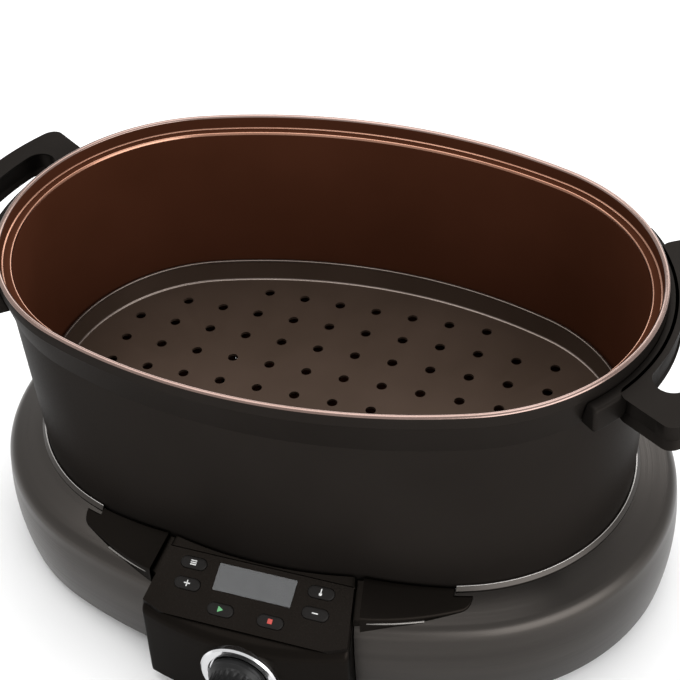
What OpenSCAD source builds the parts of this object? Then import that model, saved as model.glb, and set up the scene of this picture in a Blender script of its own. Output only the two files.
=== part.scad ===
// Oval multicooker: a lift-out pot with a rack, on a heating base with a front console.
// Origin on the counter, under the middle of the pot's oval. The console faces -Y.
// Every oval is four arcs with fixed centres, so that an inset keeps a true distance.

/* [Oval] */
// Radius of the oval's two end arcs
end_radius = 112.4; // [102:0.2:136]
// Unit of the oval: the rim's half length is the end radius and 44 units, its half width 36 units less
oval_unit = 1.65; // [1.5:0.05:2]

/* [Pot] */
// Height of the pot from its underside to the top of the lip
pot_height = 150; // [125:1:180]
// Depth of the pot that sits inside the base
nest_depth = 21; // [18:1:28]
// Thickness of the pot's floor
pot_floor = 3.5; // [2.5:0.1:5]
// Width of the rolled lip
lip_width = 3.4; // [3:0.1:4]
// Depth of the rebate that a lid drops into
rebate_depth = 8.4; // [7:0.1:10]
// Width of the ledge that a lid rests on
ledge_width = 5.8; // [5:0.1:7]
// Height of the sloping band below the rebate
band_height = 19; // [16:0.5:22]
// How far the band draws in at its lower edge
band_draw = 4.4; // [3.5:0.1:5]
// Step between the band and the plain wall
wall_step = 0.5; // [0.3:0.1:0.8]
// Draft of the plain wall from the step to the corner
wall_draft = 5.8; // [4:0.1:6.5]
// Radius of the outer bottom corner
corner_radius = 14; // [10:1:16]
// Thickness of the wall at the bottom corner
wall_thickness = 2.8; // [2:0.1:3.2]

/* [Handles] */
// Height of a side handle
handle_height = 15; // [13:0.5:16]
// Reach of a handle beyond the rim
handle_reach = 40; // [36:1:46]
// Half angle of the pad that hugs the pot's end
pad_half_angle = 42; // [38:1:46]
// Thickness of the pad
pad_thickness = 7; // [6:0.5:8]
// Width of the grip bar
grip_width = 13; // [11:0.5:15]
// Half angle of the finger opening
finger_half_angle = 20; // [16:1:22]

/* [Rack] */
// Height of the rack plate above the pot's floor
rack_height = 32; // [26:1:40]
// Gap between the flange and the pot's wall at plate level
rack_gap = 5; // [4:0.5:8]
// Height of the upturned flange
flange_height = 14; // [10:0.5:18]
// Outward lean of the flange
flange_lean = 1.5; // [0:0.1:2.5]
// Sheet thickness of the rack
rack_sheet = 1.5; // [1:0.1:2]
// Diameter of a drain hole
hole_diameter = 6.2; // [5:0.1:8]
// Hole pitch along the length
hole_pitch_x = 23.5; // [20:0.5:28]
// Hole pitch across the width
hole_pitch_y = 21.3; // [18:0.1:26]
// Wire diameter of the two stands
stand_wire = 4; // [3:0.2:5]

/* [Base] */
// Height of the base's top ring above the counter
base_height = 71; // [68:1:86]
// Sheet thickness of the wrap
wrap_sheet = 1.2; // [0.8:0.1:1.6]
// How far the wrap's side stands out from the rim's outline
wrap_reach = 16; // [13:1:18]
// Radius of the wrap's shoulder
shoulder_radius = 9; // [7:1:11]
// Slope of the shoulder in degrees
shoulder_slope = 20; // [16:1:24]
// Radius of the gentle bulge of the wrap's side
bulge_radius = 140; // [120:5:300]
// Height of the four feet
foot_height = 6; // [4:0.5:8]
// Radius of a foot
foot_radius = 11; // [9:0.5:13]
// Gap between the pot's wall and the well at the ring
well_gap = 0.6; // [0.5:0.1:1]

/* [Heater] */
// Thickness of the heating plate
plate_thickness = 6; // [4:0.5:7]
// Radius of the tubular element
element_radius = 3.3; // [2.8:0.1:3.5]
// Height of the space between the well's floor and the plate
heater_space = 8.8; // [8.2:0.1:10]
// Travel of the sprung sensor
sensor_travel = 3; // [2:0.5:3]
// Radius of the sensor's cap
sensor_radius = 10; // [8:0.5:12]

/* [Console] */
// How far the console's nose stands out from the pot's rim at the middle
nose_reach = 33.5; // [30:0.5:40]
// Plan radius of the nose's front
nose_radius = 170; // [150:5:220]
// Half width of the nose where it meets the pot
nose_half_width = 52.5; // [47:0.5:54]
// Plan radius of the two wings' outer edge
wing_radius = 200; // [190:5:215]
// Half span of the two wings
wing_half_span = 111; // [106:1:113]
// Width of the dark seam between a wing and the nose
seam_width = 3.8; // [3:0.1:5]
// Slope of the console's face in degrees
panel_slope = 24; // [21:1:26]
// Wall thickness of the console
console_wall = 2.5; // [2:0.1:3]
// Radius of the round outer corner of a wing's tip
wing_tip_radius = 8; // [5:0.5:9]
// Width of the bright bead along a wing
bead_width = 1.2; // [0.8:0.1:1.6]
// Travel of a button
button_travel = 1.2; // [0.8:0.1:1.4]
// Length of a button
button_length = 14.6; // [12:0.2:15]
// Width of a button
button_width = 6.6; // [6:0.1:7]
// Radius of the selector knob
knob_radius = 16; // [14:0.5:17]
// Depth of the selector knob
knob_depth = 16; // [12:1:20]

/* [Hidden] */
$fn = 96;

// The oval's four arcs meet on the long sides of 44-117-125 triangles, so that they join smoothly
end_centre = 44 * oval_unit;
side_centre = 117 * oval_unit;
side_radius = end_radius + 125 * oval_unit;
rim_half_length = end_radius + end_centre;
rim_half_width = side_radius - side_centre;
joint_angle = atan2(117, 44);
joint_direction = [0.352, 0.936];
far = 1000;

// Clearances
slip = 0.3;
wrap_gap = 0.5;
hair = 0.1;
shaft_clearance = 0.06;

// Heights above the counter
pot_bottom = base_height - nest_depth;
rim_top = pot_bottom + pot_height;
lip_radius = lip_width / 2;
ledge_z = rim_top - rebate_depth;
band_top = ledge_z + 0.9;
step_z = band_top - band_height;
corner_z = pot_bottom + corner_radius;
step_off = band_draw + wall_step;
corner_off = step_off + wall_draft;
inner_top_off = lip_width + ledge_width;
inner_corner_off = corner_off + wall_thickness;
inner_floor = pot_bottom + pot_floor;
inner_corner_radius = corner_radius - pot_floor + 0.5;
inner_corner_z = inner_floor + inner_corner_radius;
rack_z = inner_floor + rack_height;
ring_off = corner_off - well_gap - 0.6;
plate_top = pot_bottom;
plate_bottom = plate_top - plate_thickness;
well_floor = plate_bottom - heater_space;
well_sheet = 1.2;
well_wall = 0.8;
shield_z = well_floor - 6.2;
shield_sheet = 0.8;
cover_z = foot_height + 0.5;
cover_sheet = 2.5;
plate_off = corner_off + corner_radius + 3.5;
post_x = end_centre + 18;
post_y = 42;

// The pot's wall: the inset of its outer and inner faces at a height
function mix(a, b, t) = a + (b - a) * t;
function outer_off(z) = z > step_z
  ? mix(band_draw, 0.1, (z - step_z - 0.4) / (band_top - step_z - 1))
  : mix(step_off, corner_off, (step_z - z) / (step_z - corner_z));
function inner_off(z) =
  mix(inner_top_off, inner_corner_off, (ledge_z - z) / (ledge_z - inner_corner_z));
function arc(cx, cz, radius, from, to, steps) =
  [for (i = [0:steps]) let (t = mix(from, to, i / steps)) [cx + radius * cos(t), cz + radius * sin(t)]];

// A filled oval, inset by a distance from the rim's outline
module oval(off) {
  intersection() {
    translate([0, -side_centre]) circle(side_radius - off);
    translate([0, side_centre]) circle(side_radius - off);
    joint_x = end_centre + (end_radius - off) * cos(joint_angle);
    square([2 * joint_x, 4 * rim_half_width], center = true);
  }
  for (s = [-1, 1]) translate([s * end_centre, 0]) circle(end_radius - off);
}

// A plate in the shape of the oval
module oval_plate(off, z, height) {
  translate([0, 0, z]) linear_extrude(height) oval(off);
}

// Sweeps a profile round the oval: its x is the distance outside the rim and its y is the height
module sweep() {
  joint = far * joint_direction;
  for (turn = [1, -1]) {
    intersection() {
      translate([turn * end_centre, 0, 0]) rotate_extrude() translate([end_radius, 0]) children();
      translate([turn * end_centre, 0, -far / 2]) linear_extrude(far)
        polygon([[0, 0], [turn * joint[0], -joint[1]], [turn * far, 0], [turn * joint[0], joint[1]]]);
    }
    intersection() {
      translate([0, -turn * side_centre, 0]) rotate_extrude() translate([side_radius, 0]) children();
      translate([0, -turn * side_centre, -far / 2]) linear_extrude(far)
        polygon([[0, 0], [joint[0], turn * joint[1]], [0, turn * far], [-joint[0], turn * joint[1]]]);
    }
  }
}

// Sweeps a profile round one end of the oval, between two angles; side is 1 for right and -1 for left
module end_sweep(side, from, to) {
  mirror([side < 0 ? 1 : 0, 0, 0]) translate([end_centre, 0, 0]) rotate([0, 0, from])
    rotate_extrude(angle = to - from) translate([end_radius, 0]) children();
}

// Cooking pot
floor_ring = 24;
module pot_profile() {
  polygon(concat(
    [[-corner_off - corner_radius - floor_ring, pot_bottom]],
    arc(-corner_off - corner_radius, corner_z, corner_radius, -90, 0, 8),
    [[-step_off, step_z], [-band_draw, step_z + 0.4], [-0.1, band_top - 0.6], [0.1, band_top]],
    [[0.1, rim_top - 2 * lip_radius]],
    arc(-lip_radius, rim_top - lip_radius, lip_radius, 0, 180, 12),
    [[-lip_width, ledge_z + 1], [-lip_width - 1, ledge_z]],
    [[-inner_top_off + 0.8, ledge_z], [-inner_top_off, ledge_z - 0.8]],
    arc(-inner_corner_off - inner_corner_radius, inner_corner_z, inner_corner_radius, 0, -90, 8),
    [[-corner_off - corner_radius - floor_ring, inner_floor]]
  ));
}

module cooking_pot() color([0.13, 0.12, 0.12]) {
  sweep() pot_profile();
  oval_plate(corner_off + corner_radius + floor_ring - 4, pot_bottom, pot_floor);
}

// Side handles: a pad that hugs the pot's end, two arms and a grip bar
handle_top = band_top - 1.8;
handle_bottom = handle_top - handle_height;
arm_half_angle = finger_half_angle + 12;
arm_mid_angle = finger_half_angle + 7;
opening_inner = pad_thickness + 1;
opening_outer = handle_reach - grip_width;
strap_thickness = 1.2;
tab_reach = opening_inner + 9;
screw_reach = opening_inner + 5;
strap_half_angle = pad_half_angle - 6;

module handle_block(side) {
  wall = slip / 2;
  edge = 2;
  end_sweep(side, -pad_half_angle, pad_half_angle) polygon([
    [-outer_off(handle_bottom) + wall, handle_bottom],
    [pad_thickness - edge, handle_bottom],
    [pad_thickness, handle_bottom + edge],
    [pad_thickness, handle_top - edge],
    [pad_thickness - edge, handle_top],
    [-outer_off(handle_top) + wall, handle_top]
  ]);
  end_sweep(side, -arm_half_angle, arm_half_angle) polygon([
    [3, handle_bottom],
    [handle_reach - 4, handle_bottom],
    [handle_reach - 1, handle_bottom + 2],
    [handle_reach, handle_bottom + handle_height / 2],
    [handle_reach - 1, handle_top - 2],
    [handle_reach - 4, handle_top],
    [3, handle_top]
  ]);
}

module finger_opening(side) {
  mid = (opening_inner + opening_outer) / 2;
  half = (opening_outer - opening_inner) / 2;
  end_sweep(side, -finger_half_angle, finger_half_angle)
    translate([opening_inner, handle_bottom - 1]) square([2 * half, handle_height + 2]);
  mirror([side < 0 ? 1 : 0, 0, 0]) translate([end_centre, 0, handle_bottom - 1])
    for (s = [-1, 1]) rotate([0, 0, s * finger_half_angle])
      translate([end_radius + mid, 0, 0]) cylinder(r = half, h = handle_height + 2);
}

module strap_profile(grow) {
  low = handle_bottom + 2.5 - grow;
  high = handle_top - 3 + grow;
  polygon([
    [-outer_off(low) + hair - 3 * grow, low],
    [-outer_off(low) + hair + strap_thickness + grow, low],
    [-outer_off(high) + hair + strap_thickness + grow, high],
    [-outer_off(high) + hair - 3 * grow, high]
  ]);
}

module tab_profile(grow) {
  low = handle_bottom + 0.2;
  translate([-outer_off(low) + hair + 0.3 - 4 * grow, low - 3 * grow])
    square([tab_reach + outer_off(low) + 5 * grow, strap_thickness + 4 * grow]);
}

module screw_spots(side) {
  mirror([side < 0 ? 1 : 0, 0, 0]) translate([end_centre, 0, 0])
    for (s = [-1, 1]) rotate([0, 0, s * arm_mid_angle])
      translate([end_radius + screw_reach, 0, 0]) children();
}

module bracket_shape(side, grow) {
  end_sweep(side, -strap_half_angle, strap_half_angle) strap_profile(grow);
  for (s = [-1, 1])
    end_sweep(side, s * arm_mid_angle - 4 - grow, s * arm_mid_angle + 4 + grow) {
      tab_profile(grow);
      low = handle_bottom + 0.2 - 3 * grow;
      polygon([
        [-outer_off(low) + hair + 0.3 - 4 * grow, low],
        [-outer_off(low) + hair + 0.3 + strap_thickness + grow, low],
        [-outer_off(low + 5) + strap_thickness + grow, low + 5],
        [-outer_off(low + 5) + hair + 0.3 - 4 * grow, low + 5]
      ]);
    }
}

module handle(side) {
  difference() {
    handle_block(side);
    finger_opening(side);
    bracket_shape(side, 0.2);
    screw_spots(side) translate([0, 0, handle_bottom]) cylinder(r = 1.6, h = 10.4);
  }
}

module bracket(side) {
  difference() {
    bracket_shape(side, 0);
    screw_spots(side) translate([0, 0, handle_bottom - 1]) cylinder(r = 1.7, h = 3);
  }
}

module left_handle() color([0.1, 0.1, 0.1]) handle(-1);
module right_handle() color([0.1, 0.1, 0.1]) handle(1);
module left_handle_bracket() color("silver") bracket(-1);
module right_handle_bracket() color("silver") bracket(1);

module handle_screws() color("silver") {
  for (side = [-1, 1]) screw_spots(side) {
    translate([0, 0, handle_bottom - 1.6]) cylinder(r = 3, h = 1.7);
    translate([0, 0, handle_bottom - 0.5]) cylinder(r = 1.5, h = 10.5);
  }
}

// Rack: a perforated tray with a leaning flange, on two wire stands
flange_off = inner_off(rack_z) + rack_gap;
hem_radius = 1;
bend = 3;
columns = floor((rim_half_length - flange_off - 14) / hole_pitch_x);
rows = floor((rim_half_width - flange_off - 12) / hole_pitch_y);

function arc_depth(x, y) = abs(y) * end_centre < (abs(x) - end_centre) * side_centre
  ? end_radius - norm([abs(x) - end_centre, y])
  : side_radius - norm([x, abs(y) + side_centre]);

module rack_tray() color([0.42, 0.36, 0.32]) {
  lean = flange_lean;
  top = rack_z + flange_height;
  difference() {
    union() {
      sweep() polygon(concat(
        [[-flange_off - 16, rack_z - rack_sheet]],
        arc(-flange_off - bend + rack_sheet, rack_z + bend - rack_sheet, bend, -90, 0, 5),
        [[-flange_off + rack_sheet + lean, top - hem_radius]],
        arc(-flange_off + rack_sheet / 2 + lean, top - hem_radius, hem_radius, 0, 180, 8),
        [[-flange_off + lean, top - hem_radius - 0.4]],
        arc(-flange_off - bend + rack_sheet, rack_z + bend - rack_sheet, bend - rack_sheet, 0, -90, 5),
        [[-flange_off - 16, rack_z]]
      ));
      oval_plate(flange_off + 14, rack_z - rack_sheet, rack_sheet);
    }
    for (i = [-columns:columns], j = [-rows:rows])
      if (arc_depth(i * hole_pitch_x, j * hole_pitch_y) > flange_off + 12)
        translate([i * hole_pitch_x, j * hole_pitch_y, rack_z - 3])
          cylinder(d = hole_diameter, h = 6, $fn = 32);
  }
}

stand_x = hole_pitch_x * 3.5;
stand_half = hole_pitch_y * 2.5;
stand_bend = 6;
module rack_stand() {
  radius = stand_wire / 2;
  foot = inner_floor + slip + radius;
  top = rack_z - rack_sheet;
  for (s = [-1, 1]) {
    translate([0, s * stand_half, foot + stand_bend])
      cylinder(r = radius, h = top - foot - stand_bend, $fn = 32);
    translate([0, s * (stand_half - stand_bend), foot + stand_bend]) rotate([0, 0, s > 0 ? 0 : 180])
      rotate([0, 90, 0]) rotate_extrude(angle = 90, $fn = 48)
        translate([stand_bend, 0]) circle(radius, $fn = 32);
  }
  translate([0, -(stand_half - stand_bend), foot]) rotate([-90, 0, 0])
    cylinder(r = radius, h = 2 * (stand_half - stand_bend), $fn = 32);
}

module rack_stands() color("silver") {
  for (s = [-1, 1]) translate([s * stand_x, 0, 0]) rack_stand();
}

// Base: steel wrap with a sloping shoulder and a gently bulging side
wrap_top_x = -ring_off + 0.9;
wrap_top_z = base_height - 3;
bulge_z = base_height * 0.5;
shoulder_end_x = wrap_reach - 1.5 - shoulder_radius * (1 - sin(shoulder_slope));
shoulder_drop = (shoulder_end_x - wrap_top_x) * tan(shoulder_slope);
shoulder_z = wrap_top_z - shoulder_drop - shoulder_radius * cos(shoulder_slope);
shoulder_x = bulge_x(shoulder_z, 0) - shoulder_radius;
wrap_bottom_z = foot_height + 1;
function bulge_x(z, inset) = wrap_reach - bulge_radius
  + sqrt(pow(bulge_radius - inset, 2) - pow(z - bulge_z, 2));
function shoulder_top(x) = wrap_top_z - (x - wrap_top_x) * tan(shoulder_slope) + shoulder_shift;
shoulder_shift = shoulder_z + shoulder_radius * cos(shoulder_slope) + (shoulder_x
  + shoulder_radius * sin(shoulder_slope) - wrap_top_x) * tan(shoulder_slope) - wrap_top_z;

function wrap_line(inset) = concat(
  [for (i = [0:6]) let (z = mix(wrap_bottom_z, shoulder_z, i / 6)) [bulge_x(z, inset), z]],
  arc(shoulder_x, shoulder_z, shoulder_radius - inset, 10, 90 - shoulder_slope, 6),
  [[wrap_top_x, shoulder_top(wrap_top_x) - inset / cos(shoulder_slope)]]
);
function reversed(list) = [for (i = [len(list) - 1:-1:0]) list[i]];

module nose_cut(grow) {
  translate([0, 0, cover_z - 1]) linear_extrude(base_height + 20) nose_plan(grow);
}

module base_wrap() color([0.62, 0.62, 0.63]) difference() {
  sweep() polygon(concat(wrap_line(0), reversed(wrap_line(wrap_sheet))));
  nose_cut(wrap_gap);
  translate([-inlet_flange_x / 2 - slip, rim_half_width, inlet_z - inlet_flange_z / 2 - slip])
    cube([inlet_flange_x + 2 * slip, 40, inlet_flange_z + 2 * slip]);
}

module base_ring() color([0.85, 0.85, 0.86]) difference() {
  low = shoulder_top(wrap_top_x) + hair / 2;
  sweep() polygon([
    [-ring_off, low],
    [wrap_top_x + 0.05, low],
    [wrap_top_x + 1.9, shoulder_top(wrap_top_x + 1.9) + hair / 2],
    [wrap_top_x + 1.9, shoulder_top(wrap_top_x + 1.9) + 1.2],
    [-ring_off + 1.2, base_height],
    [-ring_off + 0.4, base_height],
    [-ring_off, base_height - 0.4]
  ]);
  translate([-ring_gap_half, -2 * rim_half_width, base_height - 12])
    cube([2 * ring_gap_half, 2 * rim_half_width, 24]);
}

// Heating well: the liner pan that the pot's lower part sits in
well_corner = 6;
module heating_well() color([0.75, 0.75, 0.76]) difference() {
  wall_x = -ring_off;
  out_x = wall_x + well_wall;
  union() {
    sweep() polygon(concat(
      [[-ring_off - 30, well_floor]],
      arc(out_x - well_corner, well_floor + well_corner, well_corner, -90, 0, 5),
      [[out_x, shoulder_top(wrap_top_x)], [wall_x, shoulder_top(wrap_top_x)]],
      arc(out_x - well_corner, well_floor + well_corner, well_corner - well_wall, 0, -90, 5),
      [[-ring_off - 30, well_floor + well_sheet]]
    ));
    oval_plate(ring_off + 26, well_floor, well_sheet);
  }
  translate([0, 0, well_floor - 1]) cylinder(r = guide_radius + 0.2, h = 4);
  at_posts(well_floor - 1) cylinder(r = screw_hole_radius, h = 4);
  at_terminals(well_floor - 1) cylinder(r = element_radius + 1.5, h = 4);
}

// The four posts carry the cover, the shield, the well and the plate on one screw each
post_radius = 5;
screw_hole_radius = 2.1;
tapped_radius = 1.95;
module at_posts(z) {
  for (x = [-1, 1], y = [-1, 1]) translate([x * post_x, y * post_y, z]) children();
}

module at_terminals(z) {
  for (s = [-1, 1]) translate([s * terminal_x, terminal_y, z]) children();
}

// Heating plate, tubular element and the sprung sensor
element_off = 55;
element_z = plate_bottom - element_radius - hair / 2;
terminal_x = 14;
terminal_y = rim_half_width - element_off;
guide_radius = 8;
stem_radius = 5;
spring_radius = 7.2;
spring_wire = 0.5;
cap_thickness = 2.4;
cap_top = plate_top - slip;
cap_bottom = cap_top - cap_thickness;
guide_top = cap_bottom - sensor_travel - 2.6;

module heating_plate() color([0.68, 0.68, 0.7]) difference() {
  oval_plate(plate_off, plate_bottom, plate_thickness);
  translate([0, 0, plate_bottom - 1]) cylinder(r = sensor_radius + 2, h = plate_thickness + 2);
  at_posts(plate_bottom - 1) cylinder(r = tapped_radius, h = 4);
}

// The element's two ends stand in lugs that pass down through the well
lug_radius = element_radius + 0.5;
lug_rise = element_z + element_radius - hair - well_floor;
module heating_element() color([0.35, 0.33, 0.32]) {
  difference() {
    sweep() translate([-element_off, element_z]) circle(element_radius, $fn = 32);
    translate([-terminal_x, 0, element_z - 10]) cube([2 * terminal_x, rim_half_width, 20]);
  }
  at_terminals(well_floor - 5) cylinder(r = lug_radius, h = lug_rise + 5);
  at_terminals(well_floor - 9) cylinder(r = 1.2, h = 5);
}

module plate_posts() color("silver") {
  at_posts(well_floor + well_sheet) difference() {
    cylinder(r = post_radius, h = plate_bottom - well_floor - well_sheet);
    translate([0, 0, -1]) cylinder(r = tapped_radius, h = plate_bottom - well_floor + 2);
  }
}

module sensor_plunger() color("silver") {
  retainer = well_floor + well_sheet - hair;
  rotate_extrude() polygon([
    [0, retainer - 1.8],
    [guide_radius - 0.8, retainer - 1.8],
    [guide_radius - 0.8, retainer],
    [stem_radius, retainer],
    [stem_radius, cap_bottom],
    [sensor_radius, cap_bottom],
    [sensor_radius, cap_top - 1],
    [sensor_radius - 1, cap_top],
    [0, cap_top]
  ]);
}

module sensor_guide() color([0.5, 0.5, 0.52]) rotate_extrude() polygon([
  [stem_radius + shaft_clearance, well_floor + well_sheet],
  [14, well_floor + well_sheet],
  [14, well_floor + well_sheet + 1.5],
  [guide_radius, well_floor + well_sheet + 1.5],
  [guide_radius, guide_top],
  [stem_radius + shaft_clearance, guide_top]
]);

// The spring is one helix tube of square rings of points
spring_turns = 3;
spring_steps = 20;
spring_sides = 6;
spring_low = guide_top + spring_wire + hair / 2;
spring_high = cap_bottom - spring_wire - hair / 2;
function spring_point(i, k) = let (
  turn = 360 * i / spring_steps,
  rise = mix(spring_low, spring_high, i / (spring_turns * spring_steps)),
  side = 360 * k / spring_sides,
  reach = spring_radius + spring_wire * cos(side)
) [reach * cos(turn), reach * sin(turn), rise + spring_wire * sin(side)];

module sensor_spring() color("silver") {
  rings = spring_turns * spring_steps;
  points = [for (i = [0:rings], k = [0:spring_sides - 1]) spring_point(i, k)];
  walls = [for (i = [0:rings - 1], k = [0:spring_sides - 1]) let (
    a = i * spring_sides + k,
    b = i * spring_sides + (k + 1) % spring_sides
  ) each [[a, a + spring_sides, b], [b, a + spring_sides, b + spring_sides]]];
  caps = [for (k = [1:spring_sides - 2]) each [
    [0, k, k + 1],
    [rings * spring_sides, rings * spring_sides + k + 1, rings * spring_sides + k]
  ]];
  polyhedron(points, concat(walls, caps));
}

module thermal_fuse() color([0.8, 0.75, 0.6]) {
  fuse_radius = 2.2;
  translate([38, -20, well_floor - fuse_radius - 0.9]) rotate([0, 90, 0])
    cylinder(r = fuse_radius, h = 14);
  translate([42, -26, well_floor - 0.9]) cube([6, 12, 0.9]);
}

// Heat shield on shouldered posts of the bottom cover
module heat_shield() color([0.8, 0.8, 0.82]) difference() {
  oval_plate(ring_off + 14, shield_z, shield_sheet);
  cylinder(r = guide_radius + 4, h = 2 * base_height, center = true);
  at_posts(0) cylinder(r = post_radius + slip, h = base_height);
  at_terminals(0) cylinder(r = element_radius + 3, h = base_height);
}

// Bottom cover with feet, posts, vents and the inlet's upright
cover_top = cover_z + cover_sheet;
cover_off = -bulge_x(cover_z + cover_sheet, wrap_sheet) + 0.5;
foot_x = end_centre + 48;
foot_y = 64;
board_z = cover_top + 5;
upright_y = rim_half_width + wrap_reach - 10;
upright_sheet = 3;
foot_neck_radius = 3.9;
vent_y = 30;
vent_pairs = 4;
vent_pitch = 13;
vent_width = 3.2;
vent_length = 28;
module at_feet(z) {
  for (x = [-1, 1], y = [-1, 1]) translate([x * foot_x, y * foot_y, z]) children();
}

module at_board_holes(z) {
  for (x = [-1, 1], y = [0, 1])
    translate([x * board_hole_x, board_y + y * board_hole_pitch, z]) children();
}

module cover_outline() {
  difference() {
    oval(cover_off);
    nose_front_plan(slip);
  }
  nose_front_plan(-console_wall - slip);
}

// The part of the nose's plan in front of the rim
module nose_front_plan(grow) {
  intersection() {
    nose_plan(grow);
    translate([0, -1.5 * rim_half_width + slip])
      square([2 * rim_half_length, rim_half_width], center = true);
  }
}

module bottom_cover() color([0.16, 0.16, 0.16]) difference() {
  union() {
    translate([0, 0, cover_z]) linear_extrude(cover_sheet) cover_outline();
    translate([0, 0, cover_top]) linear_extrude(4) difference() {
      oval(cover_off + 0.6);
      oval(cover_off + 2.6);
      nose_plan(0.5);
    }
    at_posts(cover_z) {
      cylinder(r = post_radius, h = well_floor - cover_z);
      cylinder(r = post_radius + 3, h = shield_z - cover_z);
    }
    at_board_holes(cover_z) cylinder(r = 3.5, h = board_z - cover_z);
    translate([-inlet_flange_x / 2, upright_y, cover_z])
      cube([inlet_flange_x, upright_sheet, inlet_z + inlet_flange_z / 2 - cover_z]);
  }
  translate([-inlet_body_x / 2 - slip, upright_y - 1, inlet_z - inlet_body_z / 2 - slip])
    cube([inlet_body_x + 2 * slip, 5, inlet_body_z + 2 * slip]);
  at_inlet_screws(upright_y - 1) cylinder(r = inlet_screw_radius + 0.05, h = 5);
  at_posts(cover_z - 1) {
    cylinder(r = 4, h = 4.5);
    cylinder(r = screw_hole_radius, h = base_height);
  }
  at_feet(cover_z - 1) cylinder(r = foot_neck_radius + 0.2, h = 6);
  at_board_holes(cover_top) cylinder(r = 1.2, h = board_z);
  for (x = [-vent_pairs:vent_pairs], y = [-1, 1])
    translate([x * vent_pitch - vent_width / 2, y * vent_y - vent_length / 2, cover_z - 1])
      cube([vent_width, vent_length, 6]);
}

module rubber_feet() color([0.08, 0.08, 0.08]) {
  at_feet(0) {
    cylinder(r = foot_radius, h = cover_z);
    cylinder(r = foot_neck_radius, h = cover_z + cover_sheet);
    translate([0, 0, cover_top + hair / 2]) cylinder(r = foot_neck_radius + 0.9, h = 1.4);
    cylinder(r = foot_neck_radius - 0.9, h = cover_top + 1);
  }
}

module cover_screws() color("silver") {
  at_posts(cover_z + 1.5) {
    cylinder(r = 3.6, h = 1.95);
    translate([0, 0, 1.5]) cylinder(r = tapped_radius - 0.05, h = plate_bottom - 2 - cover_z);
  }
}

// Power board with its relay and transformer
board_y = 15;
board_hole_x = 61;
board_hole_pitch = 52;
board_sheet = 1.6;
board_margin = 5;
module power_board() color([0.1, 0.35, 0.2]) difference() {
  translate([-board_hole_x - board_margin, board_y - board_margin, board_z])
    cube([2 * (board_hole_x + board_margin), board_hole_pitch + 2 * board_margin, board_sheet]);
  at_board_holes(board_z - 1) cylinder(r = 1.5, h = 4);
}

module power_relay() color([0.15, 0.3, 0.6])
  translate([24, board_y + 8, board_z + board_sheet]) cube([22, 16, 7.5]);

module transformer() color([0.8, 0.65, 0.2]) translate([-44, board_y + 8, board_z + board_sheet]) {
  cube([26, 22, 3]);
  translate([3, 3, 3]) cube([20, 16, 4.5]);
}

module board_spacers() color("silver") {
  at_board_holes(board_z - 4) {
    cylinder(r = 1.15, h = 6);
    translate([0, 0, 4 + board_sheet]) cylinder(r = 2.8, h = 1.8);
  }
}

// Appliance inlet at the back
inlet_flange_x = 46;
inlet_flange_z = 24;
inlet_body_x = 27;
inlet_body_z = 20;
inlet_z = cover_top + 19;
inlet_screw_x = 19;
inlet_depth = 20;
inlet_face = rim_half_width + wrap_reach + 0.4;
inlet_screw_radius = 1.4;
pin_radius = 2;
pin_spots = [[-7, -2], [0, 3.5], [7, -2]];
module at_inlet_screws(y) {
  for (s = [-1, 1]) translate([s * inlet_screw_x, y, inlet_z]) rotate([-90, 0, 0]) children();
}

module at_pins(y) {
  for (spot = pin_spots) translate([spot[0], y, inlet_z + spot[1]]) rotate([-90, 0, 0]) children();
}

module inlet_socket() color([0.09, 0.09, 0.09]) difference() {
  flange_back = upright_y + upright_sheet;
  union() {
    translate([-inlet_flange_x / 2, flange_back, inlet_z - inlet_flange_z / 2])
      cube([inlet_flange_x, inlet_face - flange_back, inlet_flange_z]);
    translate([-inlet_body_x / 2, inlet_face - inlet_depth, inlet_z - inlet_body_z / 2])
      cube([inlet_body_x, inlet_depth, inlet_body_z]);
  }
  translate([-12, inlet_face - inlet_depth + 2.5, inlet_z - 8]) cube([24, inlet_depth, 16]);
  at_pins(inlet_face - inlet_depth - 1) cylinder(r = pin_radius + 0.03, h = 5);
  at_inlet_screws(upright_y) {
    cylinder(r = inlet_screw_radius + 0.2, h = 20);
    translate([0, 0, inlet_face - upright_y - 1.8]) cylinder(r = 3.2, h = 3);
  }
}

module inlet_pins() color([0.8, 0.75, 0.55]) {
  at_pins(inlet_face - inlet_depth - 5) cylinder(r = pin_radius, h = inlet_depth - 2);
}

module inlet_screws() color("silver") {
  at_inlet_screws(upright_y + 0.5) {
    cylinder(r = inlet_screw_radius, h = inlet_face - upright_y - 1);
    translate([0, 0, inlet_face - upright_y - 2.2]) cylinder(r = 3, h = 1.5);
  }
}

// Console: plan outlines
nose_front = -rim_half_width - nose_reach;
nose_splay = 0.18;
panel_y = -rim_half_width + 8.5;
panel_z = base_height + 4.5;
console_off = ring_off - well_wall - 0.5;
ring_gap_half = wing_half_span - 9;
wing_centre_y = wing_radius - rim_half_width - 16;

module nose_plan(grow) {
  half_near = nose_half_width + grow;
  rear = -rim_half_width * 0.6;
  difference() {
    intersection() {
      translate([0, nose_front + nose_radius]) circle(nose_radius + grow);
      polygon([
        [-half_near + nose_splay * (rear - panel_y), rear],
        [half_near - nose_splay * (rear - panel_y), rear],
        [half_near + nose_splay * 70, panel_y - 70],
        [-half_near - nose_splay * 70, panel_y - 70]
      ]);
    }
    oval(console_off + grow);
  }
}

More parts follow.
